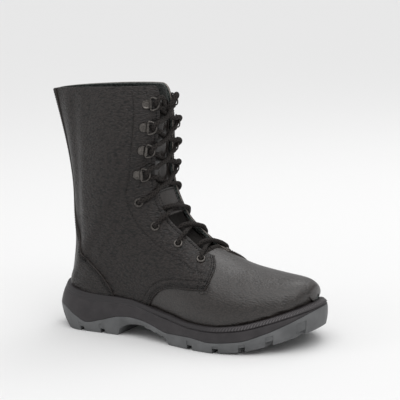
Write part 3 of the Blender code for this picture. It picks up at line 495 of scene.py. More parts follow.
    def read(self, rows: np.ndarray, columns: np.ndarray) -> tuple[np.ndarray, np.ndarray]:
        """Points and normals at places of the surface.

        Args:
            rows: row of each place.
            columns: column of each place, in the same shape.

        Returns:
            Two arrays with a last axis of three.
        """
        r, c = np.broadcast_arrays(np.asarray(rows, float), np.asarray(columns, float))
        r, c = r*self.rows_fine, c*self.columns_fine
        high, wide = self.points.shape[:2]
        i = np.clip(np.floor(r).astype(int), 0, high - 2)
        j = np.clip(np.floor(c).astype(int), 0, wide - 2)

        def weights(t: np.ndarray) -> list[np.ndarray]:
            """Weights of the four neighbours of a smooth curve."""
            return [(-t**3 + 2*t**2 - t)/2, (3*t**3 - 5*t**2 + 2)/2, (-3*t**3 + 4*t**2 + t)/2, (t**3 - t**2)/2]

        point = np.zeros(r.shape + (3,))
        normal = np.zeros(r.shape + (3,))
        for di, wi in zip((-1, 0, 1, 2), weights(r - i)):
            for dj, wj in zip((-1, 0, 1, 2), weights(c - j)):
                at = (np.clip(i + di, 0, high - 1), np.clip(j + dj, 0, wide - 1))
                weight = (wi*wj)[..., None]
                point += weight*self.points[at]
                normal += weight*self.normals[at]
        return point, normal/np.maximum(np.linalg.norm(normal, axis=-1, keepdims=True), 1e-12)

    def line(self, places: np.ndarray) -> np.ndarray:
        """Points of the surface at an array (n, 2) of rows and columns."""
        return self.read(places[:, 0], places[:, 1])[0]

    def fine_places(self, places: np.ndarray, steps: int) -> np.ndarray:
        """Places on a smooth line through the given ones."""
        if len(places) < 3:
            return even_steps(places, steps)
        knots = run_of(places)
        return natural_spline(knots, places, np.linspace(0, knots[-1], steps*(len(places) - 1) + 1))

    def inset_line(self, places: np.ndarray, distance: float, turn: float) -> np.ndarray:
        """Line of places moved sideways over the surface.

        Args:
            places: array (n, 2) of rows and columns.
            distance: how far it moves, in metres.
            turn: 1 or -1, the side to which it moves.

        Returns:
            Array (n, 2) of places.
        """
        moved = places.copy()
        count = max(1, math.ceil(distance/MM))
        for _ in range(count):
            point, normal = self.read(moved[:, 0], moved[:, 1])
            ahead = np.gradient(point, axis=0)
            way = turn*np.cross(normal, ahead)
            way /= np.maximum(np.linalg.norm(way, axis=1, keepdims=True), 1e-12)
            by_row = (self.read(moved[:, 0] + 0.05, moved[:, 1])[0] - point)/0.05
            by_column = (self.read(moved[:, 0], moved[:, 1] + 0.05)[0] - point)/0.05
            aa, ab, bb = (by_row**2).sum(1), (by_row*by_column).sum(1), (by_column**2).sum(1)
            ra, rb = (by_row*way).sum(1), (by_column*way).sum(1)
            bottom = np.maximum(aa*bb - ab*ab, 1e-12)
            step = np.stack([(ra*bb - rb*ab)/bottom, (rb*aa - ra*ab)/bottom], axis=1)*distance/count
            moved = np.clip(moved + np.clip(step, -0.3, 0.3), 0.0, (LAST_ROW, LAST_COLUMN))
        return moved

    def settle(self, target: np.ndarray, row: float, column: float) -> tuple[float, float]:
        """Place of the surface nearest to a point, searched from a first guess."""
        for _ in range(5):
            spot, by_row, by_column = self.read(np.array([row, row + 0.05, row]),
                                                np.array([column, column, column + 0.05]))[0]
            steps = np.stack([by_row - spot, by_column - spot], axis=1)/0.05
            move = np.linalg.lstsq(steps, target - spot, rcond=None)[0]
            row = float(np.clip(row + move[0], 0.05, LAST_ROW - 0.05))
            column = float(np.clip(column + move[1], 0.05, LAST_COLUMN - 0.05))
        return row, column

    def beside(self, side: Side, down: float, inward: float, lift: float) -> tuple[Vector, Vector, Vector]:
        """A spot beside the facing's edge.

        Args:
            side: which facing.
            down: share of the facing's length from the collar.
            inward: distance from its edge over the leather, negative over the throat.
            lift: height off the last.

        Returns:
            The point, the way towards the edge, and the way out of the leather.
        """
        facing = MIDDLE + HALF_THROAT*side.value
        rows = np.arange(8, LAST_ROW + 0.01, 0.125)
        line = self.read(rows, np.full_like(rows, facing))[0][::-1]
        run = run_of(line)
        at = down*run[-1]
        row = LAST_ROW - float(np.interp(at, run, np.arange(len(rows))))*0.125
        above, below = (read_path(line, run, at + step) for step in (-8*MM, 8*MM))
        along = Vector(above - below).normalized()
        point, normal = self.read(np.array([row, row]), np.array([facing, facing + 0.5*side.value]))
        forward = -side.value*along.cross(Vector(normal[1])).normalized()
        target = point[0] - np.array(forward)*inward
        place = self.settle(target, row, facing + side.value*inward/(10*MM))
        spot, out = (found[0] for found in self.read(np.array([place[0]]), np.array([place[1]])))
        up_way = Vector(out).normalized()
        forward = (forward - forward.dot(up_way)*up_way).normalized()
        return Vector(spot) + lift*up_way, forward, up_way

    def seat(self, side: Side, spot: Fastening, lift: float) -> Matrix:
        """Matrix of a fastening: X towards the facing's edge, Z out of the leather."""
        origin, forward, up_way = self.beside(side, spot.down, spot.inward, lift)
        turn = Matrix((forward, up_way.cross(forward), up_way)).transposed().to_4x4()
        return Matrix.Translation(origin) @ turn


def linear(hex_colour: str) -> tuple[float, float, float, float]:
    """Linear colour of an sRGB hex value."""
    channels = [int(hex_colour[k:k + 2], 16)/255 for k in (0, 2, 4)]
    return (*(c/12.92 if c <= 0.04045 else ((c + 0.055)/1.055)**2.4 for c in channels), 1.0)


def node(tree: bpy.types.NodeTree, kind: str, inputs: dict | None = None, stops: Sequence[tuple] = (),
         **settings: object) -> bpy.types.Node:
    """Adds a shader node.

    Args:
        tree: the material's node tree.
        kind: the node's type name after "ShaderNode".
        inputs: socket name or number to a value, or to an output socket that is linked to it.
        stops: places and colours of a colour ramp.
        settings: attributes of the node.

    Returns:
        The new node.
    """
    made = tree.nodes.new("ShaderNode" + kind)
    for name, value in settings.items():
        setattr(made, name, value)
    for name, value in (inputs or {}).items():
        if isinstance(value, bpy.types.NodeSocket):
            tree.links.new(value, made.inputs[name])
        else:
            made.inputs[name].default_value = value
    for number, (place, colour) in enumerate(stops):
        elements = made.color_ramp.elements
        element = elements[number] if number < len(elements) else elements.new(place)
        element.position = place
        element.color = colour
    return made


@dataclass(frozen=True)
class Finish:
    """A finish. Its pattern fades from colour to light between the shares low and high."""

    name: str
    colour: str
    light: str
    roughness: float
    metallic: float = 0.0
    coat: float = 0.0
    coat_roughness: float = 0.3
    sheen: float = 0.0
    ior: float = 1.5
    gloss: float = 0.5
    low: float = 0.35
    high: float = 0.65

    def pattern(self, tree: bpy.types.NodeTree) -> dict[str, bpy.types.NodeSocket]:
        """Adds the finish's own nodes.

        Args:
            tree: the material's node tree.

        Returns:
            Outputs for the shader's sockets, and "Pattern", which picks the colour.
        """
        raise NotImplementedError

    def make(self) -> bpy.types.Material:
        """New material with the plain values of the finish, then its pattern."""
        made = bpy.data.materials.new(self.name)
        made.use_nodes = True
        tree = made.node_tree
        sockets = tree.nodes["Principled BSDF"].inputs
        values = {"Base Color": linear(self.colour), "Roughness": self.roughness, "Metallic": self.metallic,
                  "Coat Weight": self.coat, "Coat Roughness": self.coat_roughness, "Sheen Weight": self.sheen}
        if self.metallic < 0.5:
            values |= {"IOR": self.ior, "Specular IOR Level": self.gloss}
        for name, value in values.items():
            sockets[name].default_value = value
        drives = self.pattern(tree)
        colours = node(tree, "ValToRGB", {"Fac": drives.pop("Pattern")},
                       [(self.low, linear(self.colour)), (self.high, linear(self.light))])
        for name, output in (drives | {"Base Color": colours.outputs["Color"]}).items():
            tree.links.new(output, sockets[name])
        return made

    def coordinates(self, tree: bpy.types.NodeTree, scale: Sequence[float],
                    kind: str = "Object") -> bpy.types.NodeSocket:
        """Object or UV coordinates in metres, times a scale."""
        source = node(tree, "TexCoord")
        return node(tree, "Mapping", {"Vector": source.outputs[kind], "Scale": scale}).outputs[0]


@dataclass(frozen=True)
class GrainedLeather(Finish):
    """Pebbled cowhide, drummed so that its grain lies in long low cells, with a satin finish."""

    low: float = 0.12
    high: float = 0.75
    grain_mm: float = 1.5
    stretch: float = 2.2
    relief_mm: float = 0.16
    waviness_mm: float = 0.10

    def pattern(self, tree: bpy.types.NodeTree) -> dict[str, bpy.types.NodeSocket]:
        """Pebbles with a painted highlight on their crowns and painted shade between them."""
        scale = 1000/self.grain_mm
        turned = self.coordinates(tree, (scale/self.stretch, scale/self.stretch, scale))
        bend = node(tree, "TexNoise", {"Vector": turned, "Scale": 0.35, "Detail": 1.0})
        pushed = node(tree, "VectorMath", {0: bend.outputs["Color"], 1: (1.3, 1.3, 1.3)},
                      operation="MULTIPLY")
        moved = node(tree, "VectorMath", {0: turned, 1: pushed.outputs[0]}, operation="ADD")
        cells = node(tree, "TexVoronoi", {"Vector": moved.outputs[0], "Scale": 1.0, "Randomness": 1.0},
                     feature="SMOOTH_F1")
        fine = node(tree, "TexNoise", {"Vector": moved.outputs[0], "Scale": 2.6, "Detail": 3.0})
        wide = node(tree, "TexNoise", {"Vector": turned, "Scale": 0.16, "Detail": 2.0})
        # The pebbles' height also picks the colour: painted highlight on the crowns, painted shade between
        # them.
        tones = [(place, (tone, tone, tone, 1.0)) for place, tone in ((0.05, 1.0), (0.42, 0.55), (0.8, 0.0))]
        crown = node(tree, "ValToRGB", {"Fac": cells.outputs["Distance"]}, tones)
        soft = node(tree, "MapRange", {"Value": fine.outputs["Fac"], "To Min": 0.45, "To Max": 1.15})
        both = node(tree, "Math", {0: crown.outputs["Color"], 1: soft.outputs[0]}, operation="MULTIPLY")
        grain = node(tree, "Bump", {"Height": both.outputs[0], "Distance": self.relief_mm*2*MM,
                                              "Strength": 1.0})
        waves = node(tree, "Bump", {"Height": wide.outputs["Fac"], "Distance": self.waviness_mm*6*MM,
                                              "Strength": 1.0, "Normal": grain.outputs[0]})
        rough = node(tree, "MapRange", {"Value": wide.outputs["Fac"], "To Min": self.roughness - 0.07,
                                                  "To Max": self.roughness + 0.08})
        return {"Normal": waves.outputs[0], "Roughness": rough.outputs[0], "Pattern": both.outputs[0]}


@dataclass(frozen=True)
class MouldedFoam(Finish):
    """Injected polyurethane: a matt skin with the mould's fine stipple."""

    low: float = 0.30
    high: float = 0.75
    stipple_mm: float = 0.9

    def pattern(self, tree: bpy.types.NodeTree) -> dict[str, bpy.types.NodeSocket]:
        """Slightly cloudy skin, with a stipple that breaks its highlights."""
        place = self.coordinates(tree, (1000/self.stipple_mm,)*3)
        stipple = node(tree, "TexNoise", {"Vector": place, "Scale": 1.0, "Detail": 3.0})
        cloud = node(tree, "TexNoise", {"Vector": place, "Scale": 0.08, "Detail": 3.0})
        bump = node(tree, "Bump", {"Height": stipple.outputs["Fac"], "Distance": 0.12*MM,
                                             "Strength": 0.9})
        return {"Normal": bump.outputs[0], "Pattern": cloud.outputs["Fac"]}


@dataclass(frozen=True)
class RibbedFoam(Finish):
    """The same foam in the welt's band, moulded with slanted ribs like a row of stitches."""

    low: float = 0.1
    high: float = 0.95
    rib_mm: float = 1.7

    def pattern(self, tree: bpy.types.NodeTree) -> dict[str, bpy.types.NodeSocket]:
        """Ribs as coarse as the render can show, fading out behind the ball of the foot, with their crests
        painted lighter as a highlight.
        """
        place = self.coordinates(tree, (1000/self.rib_mm, 350/self.rib_mm, 1.0), "UV")
        ribs = node(tree, "TexWave", {"Vector": place, "Scale": 1/math.tau*2, "Distortion": 0.6,
                                                "Detail": 1.0}, wave_type="BANDS", bands_direction="DIAGONAL")
        spot = node(tree, "SeparateXYZ", {0: self.coordinates(tree, (1.0, 1.0, 1.0))})
        front = node(tree, "MapRange", {"Value": spot.outputs["X"], "From Min": 0.16, "From Max": 0.21})
        shown = node(tree, "Math", {0: ribs.outputs["Fac"], 1: front.outputs[0]}, operation="MULTIPLY")
        bump = node(tree, "Bump", {"Height": shown.outputs[0], "Distance": 0.4*MM, "Strength": 1.0})
        return {"Normal": bump.outputs[0], "Pattern": shown.outputs[0]}


@dataclass(frozen=True)
class KnitLining(Finish):
    """Spacer knit of two yarns, which looks mottled and has a soft, matt face."""

    sheen: float = 0.25
    low: float = 0.40
    high: float = 0.62
    loop_mm: float = 1.6

    def pattern(self, tree: bpy.types.NodeTree) -> dict[str, bpy.types.NodeSocket]:
        """Light and dark loops."""
        place = self.coordinates(tree, (1000/self.loop_mm,)*3)
        loops = node(tree, "TexVoronoi", {"Vector": place, "Scale": 1.0})
        tone = node(tree, "TexNoise", {"Vector": place, "Scale": 0.8, "Detail": 2.0})
        bump = node(tree, "Bump", {"Height": loops.outputs["Distance"], "Distance": 0.5*MM,
                                             "Strength": 0.9}, invert=True)
        return {"Normal": bump.outputs[0], "Pattern": tone.outputs["Fac"]}


@dataclass(frozen=True)
class DarkNickel(Finish):
    """Steel with a black nickel plating, polished by wear on its edges."""

    high: float = 0.75

    def pattern(self, tree: bpy.types.NodeTree) -> dict[str, bpy.types.NodeSocket]:
        """Faint streaks in the metal's gloss."""
        place = self.coordinates(tree, (700.0, 700.0, 700.0))
        streaks = node(tree, "TexNoise", {"Vector": place, "Scale": 1.0, "Detail": 3.0})
        rough = node(tree, "MapRange", {"Value": streaks.outputs["Fac"], "To Min": self.roughness - 0.08,
                                                  "To Max": self.roughness + 0.12})
        return {"Roughness": rough.outputs[0], "Pattern": streaks.outputs["Fac"]}


@dataclass(frozen=True)
class BraidedCord(Finish):
    """Round lace braided from polyester yarn. Its yarns are drawn wider than real so that they show."""

    low: float = 0.3
    high: float = 0.95
    yarn_mm: float = 1.3

    def pattern(self, tree: bpy.types.NodeTree) -> dict[str, bpy.types.NodeSocket]:
        """Yarns that cross in two slanted sets, painted lighter on their crests as a highlight and darker
        between them as shade.
        """
        heights = []
        for slant in (1.0, -1.0):
            place = self.coordinates(tree, (1000/self.yarn_mm, 1000*slant/self.yarn_mm, 1.0), "UV")
            wave = node(tree, "TexWave", {"Vector": place, "Scale": 1/math.tau*1.4},
                        wave_type="BANDS", bands_direction="DIAGONAL")
            heights.append(wave.outputs["Fac"])
        both = node(tree, "Math", {0: heights[0], 1: heights[1]}, operation="MAXIMUM")
        bump = node(tree, "Bump", {"Height": both.outputs[0], "Distance": 0.35*MM, "Strength": 1.0})
        return {"Normal": bump.outputs[0], "Pattern": both.outputs[0]}


@dataclass(frozen=True)
class Plain(Finish):
    """A small or soft thing with an even colour and a fine fuzz."""

    fuzz_mm: float = 0.6

    def pattern(self, tree: bpy.types.NodeTree) -> dict[str, bpy.types.NodeSocket]:
        """Fine bump."""
        place = self.coordinates(tree, (1000/self.fuzz_mm,)*3)
        fuzz = node(tree, "TexNoise", {"Vector": place, "Scale": 1.0, "Detail": 2.0})
        bump = node(tree, "Bump", {"Height": fuzz.outputs["Fac"], "Distance": 0.1*MM, "Strength": 0.8})
        return {"Normal": bump.outputs[0], "Pattern": fuzz.outputs["Fac"]}


class Finishes:
    """Every finish of the boot, made once."""

    def __init__(self) -> None:
        """Makes the materials."""
        self.shaft = GrainedLeather("drummed_cowhide", "080706", "2c2624", 0.44, gloss=0.36, grain_mm=1.35,
                                    relief_mm=0.50).make()
        self.vamp = GrainedLeather("fine_cowhide", "161311", "2d2724", 0.40, coat=0.20, gloss=0.55,
                                   coat_roughness=0.32, grain_mm=1.15, stretch=1.8).make()
        self.tongue = GrainedLeather("soft_cowhide", "171412", "302a27", 0.38, coat=0.12, grain_mm=1.0,
                                     stretch=1.2, relief_mm=0.05, waviness_mm=0.05).make()
        # Where leather is cut its fibres show, dry and paler than the face.
        self.cut_edge = Plain("raw_leather_edge", "2b2725", "4a4441", 0.8).make()
        # Painted shade: a near-black matt finish for the tongue's face low in the throat and for its cut edges,
        # where shade falls.
        self.throat_shade = Plain("painted_throat_shade", "0b0a09", "1c1917", 0.9, gloss=0.2).make()
        # Painted highlight: raw cut edges that face the light get a pale colour, a thin light line along the
        # facings, the collar and the patch.
        self.edge_highlight = Plain("raw_edge_painted_highlight", "6b6560", "918a84", 0.8).make()
        self.lining = KnitLining("spacer_knit", "121615", "464d4a", 0.95, gloss=0.25).make()
        self.foam = MouldedFoam("black_polyurethane", "242123", "332f31", 0.60).make()
        self.band = RibbedFoam("ribbed_polyurethane", "262325", "524e50", 0.55).make()
        self.rubber = MouldedFoam("grey_nitrile_rubber", "515253", "68696a", 0.62, stipple_mm=1.4).make()
        self.metal = DarkNickel("black_nickel_steel", "4a4745", "6c6864", 0.30, metallic=1.0).make()
        self.cord = BraidedCord("braided_polyester", "141211", "2c2826", 0.9, gloss=0.25).make()
        # Waxed thread, nearly black, duller than the leather that it lies in.
        self.thread = Plain("bonded_thread", "060505", "141211", 0.6).make()


class Shape(NamedTuple):
    """Arrays of a mesh: its points, faces, material number and UV place of each point."""

    points: np.ndarray
    faces: list
    slots: list
    places: np.ndarray | None = None


def join_shapes(shapes: Sequence[Shape]) -> Shape:
    """One shape out of several."""
    points, faces, slots, places = [], [], [], []
    count = 0
    for shape in shapes:
        points.append(shape.points)
        faces += [[corner + count for corner in face] for face in shape.faces]
        slots += shape.slots
        places.append(shape.places if shape.places is not None else np.zeros((len(shape.points), 2)))
        count += len(shape.points)
    return Shape(np.vstack(points), faces, slots, np.vstack(places))


def place_item(name: str, data: bpy.types.ID) -> bpy.types.Object:
    """New object of the scene."""
    item = bpy.data.objects.new(name, data)
    bpy.context.scene.collection.objects.link(item)
    return item


def add_piece(name: str, shape: Shape, finishes: Sequence[bpy.types.Material], replaced: Sequence[str] = (),
              sharp: float = 40.0, weld: float = 0.0) -> None:
    """Adds a piece of the boot.

    Args:
        name: the piece's name.
        shape: its mesh.
        finishes: materials by number.
        replaced: the solids that it stands for.
        sharp: edges steeper than this many degrees stay sharp.
        weld: distance under which points are joined.
    """
    mesh = bpy.data.meshes.new(name)
    mesh.from_pydata(shape.points.tolist(), [], shape.faces)
    mesh.polygons.foreach_set("material_index", shape.slots)
    if shape.places is not None:
        layer = mesh.uv_layers.new(name="length")
        corners = np.zeros(len(mesh.loops), dtype=int)
        mesh.loops.foreach_get("vertex_index", corners)
        layer.data.foreach_set("uv", shape.places[corners].ravel())
    mesh.shade_smooth()
    mesh.set_sharp_from_angle(angle=math.radians(sharp))
    for finish in finishes:
        mesh.materials.append(finish)
    mesh.validate()
    piece = place_item(name, mesh)
    if weld:
        piece.modifiers.new("weld", "WELD").merge_threshold = weld
    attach(piece, "root")
    if replaced:
        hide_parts(*replaced)
    LOG.info("%s: %d faces", name, len(shape.faces))


def grid_faces(high: int, wide: int, start: int, flip: bool) -> list:
    """Faces of a grid of points, counted from start."""
    index = start + np.arange(high*wide).reshape(high, wide)
    corners = (index[:-1, :-1], index[:-1, 1:], index[1:, 1:], index[1:, :-1])
    if flip:
        corners = corners[::-1]
    return np.stack([corner.ravel() for corner in corners], axis=1).tolist()


def ring_faces(strips: int, around: int) -> list:
    """Faces of the strips between closed rings of points."""
    return [[k*around + j, k*around + after, (k + 1)*around + after, (k + 1)*around + j]
            for k in range(strips) for j, after in ((j, (j + 1) % around) for j in range(around))]


def sheet_shape(last: Last, rows: np.ndarray, columns: np.ndarray, outer: np.ndarray, inner: float,
                mask: np.ndarray | None = None, pale: np.ndarray | None = None) -> Shape:
    """Leather sheet over a grid of places, with its edge and its inner face.

    Args:
        last: the surface that it follows.
        rows: row of each place of the grid.
        columns: column of each place.
        outer: height of the outer face over the last at each place.
        inner: height of the inner face.
        mask: cells that are kept, all if left out.
        highlit: places whose cut edge gets a painted highlight.

    Returns:
        Shape whose slots are 0 outside, 1 on the edge, 2 inside and 3 on an edge with a painted highlight.
    """
    point, normal = last.read(rows, columns)
    high, wide = rows.shape
    top = (point + outer[..., None]*normal).reshape(-1, 3)
    bottom = (point + inner*normal).reshape(-1, 3)
    count = high*wide
    kept = np.ones((high - 1, wide - 1), bool) if mask is None else mask
    cells = np.array(grid_faces(high, wide, 0, False))[kept.ravel()]
    across = np.cross(top[cells[:, 1]] - top[cells[:, 0]], top[cells[:, 3]] - top[cells[:, 0]])
    if (across*normal.reshape(-1, 3)[cells[:, 0]]).sum() < 0:
        cells = cells[:, ::-1]
    sides = {(a, b) for cell in cells.tolist() for a, b in zip(cell, cell[1:] + cell[:1])}
    rim = [(a, b) for a, b in sides if (b, a) not in sides]
    faces = cells.tolist() + [[b, a, count + a, count + b] for a, b in rim] + (count + cells[:, ::-1]).tolist()
    light = np.zeros(count, bool) if pale is None else pale.ravel()
    slots = [0]*len(cells) + [3 if light[a] and light[b] else 1 for a, b in rim] + [2]*len(cells)
    run = np.zeros((high, wide, 2))
    run[:, 1:, 0] = np.cumsum(np.linalg.norm(np.diff(point, axis=1), axis=2), axis=1)
    run[1:, :, 1] = np.cumsum(np.linalg.norm(np.diff(point, axis=0), axis=2), axis=0)
    places = np.vstack([run.reshape(-1, 2)]*2)
    return Shape(np.vstack([top, bottom]), faces, slots, places)


def rounded(distance: np.ndarray, inner: float, outer: float, radius: float) -> np.ndarray:
    """Height of a sheet's face that rolls down to its edge."""
    share = np.clip(distance/radius, 0, 1)
    return inner + (outer - inner)*(0.35 + 0.65*np.sqrt(1 - (1 - share)**2))


def stitch_shape(last: Last, places: np.ndarray, lift: float, pitch: float = 3.0*MM, length: float = 2.2*MM,
                 radius: float = 0.44*MM) -> Shape:
    """Row of stitches along places of the last.

    Args:
        last: the surface.
        places: array (n, 2) of rows and columns.
        lift: height of the thread's middle.
        pitch: distance from stitch to stitch.
        length: length of the thread that shows in each.
        radius: half the thread's thickness.

    Returns:
        Shape of every stitch.
    """
    run = run_of(last.line(places))
    count = int(run[-1]/pitch)
    sides = 6
    shapes = []
    for k in range(count):
        at = (k + 0.5)*pitch + np.linspace(-0.5, 0.5, 5)*length
        where = read_path(places, run, at)
        spot, normal = last.read(where[:, 0], where[:, 1])
        ahead = np.gradient(spot, axis=0)
        ahead /= np.linalg.norm(ahead, axis=1, keepdims=True)
        aside = np.cross(ahead, normal)
        bow = np.array([-0.45, 0.05, 0.2, 0.05, -0.45])*MM
        thick = np.array([0.35, 0.9, 1.0, 0.9, 0.35])*radius
        turn = np.arange(sides)*math.tau/sides
        ring = (spot + (lift + bow)[:, None]*normal)[:, None] + thick[:, None, None]*(
            np.cos(turn)[None, :, None]*aside[:, None] + np.sin(turn)[None, :, None]*normal[:, None])
        faces = ring_faces(4, sides) + [list(range(sides))[::-1], [4*sides + j for j in range(sides)]]
        shapes.append(Shape(ring.reshape(-1, 3), faces, [0]*len(faces)))
    return join_shapes(shapes)


def tube_shape(path: np.ndarray, radius: float, sides: int, closed: bool = False) -> Shape:
    """Round cord or wire along a path.

    Args:
        path: array (n, 3) of points.
        radius: its radius.
        sides: points round it.
        closed: whether the path ends where it starts.

    Returns:
        Shape with its length and girth as UV places.
    """
    count = len(path)
    ahead = np.roll(path, -1, axis=0) - np.roll(path, 1, axis=0)
    if not closed:
        ahead[0], ahead[-1] = path[1] - path[0], path[-1] - path[-2]
    ahead /= np.linalg.norm(ahead, axis=1, keepdims=True)
    side_way = np.array(Vector(ahead[0]).orthogonal().normalized())
    run = run_of(path)
    turn = np.arange(sides + 1)*math.tau/sides
    points, places = [], []
    for k in range(count):
        side_way = side_way - side_way.dot(ahead[k])*ahead[k]
        side_way /= np.linalg.norm(side_way)
        up_way = np.cross(ahead[k], side_way)
        points.append(path[k] + radius*(np.cos(turn)[:, None]*side_way + np.sin(turn)[:, None]*up_way))
        places.append(np.stack([np.full(sides + 1, run[k]), turn*radius], axis=1))
    wide = sides + 1
    faces = grid_faces(count, wide, 0, True)
    if closed:
        last_ring = (count - 1)*wide
        faces += [[last_ring + j, j, j + 1, last_ring + j + 1][::-1] for j in range(sides)]
    else:
        faces += [list(range(sides)), [(count - 1)*wide + j for j in reversed(range(sides))]]
    return Shape(np.vstack(points), faces, [0]*len(faces), np.vstack(places))


def smooth_path(knots: Sequence[Sequence[float]], spacing: float) -> np.ndarray:
    """Smooth curve through points, at even steps."""
    array = np.array(knots, float)
    run = np.concatenate([[0], np.cumsum(np.sqrt(np.linalg.norm(np.diff(array, axis=0), axis=1)))])
    fine = natural_spline(run, array, np.linspace(0, run[-1], 24*len(array)))
    length = np.linalg.norm(np.diff(fine, axis=0), axis=1).sum()
    return even_steps(fine, max(8, int(length/spacing)))


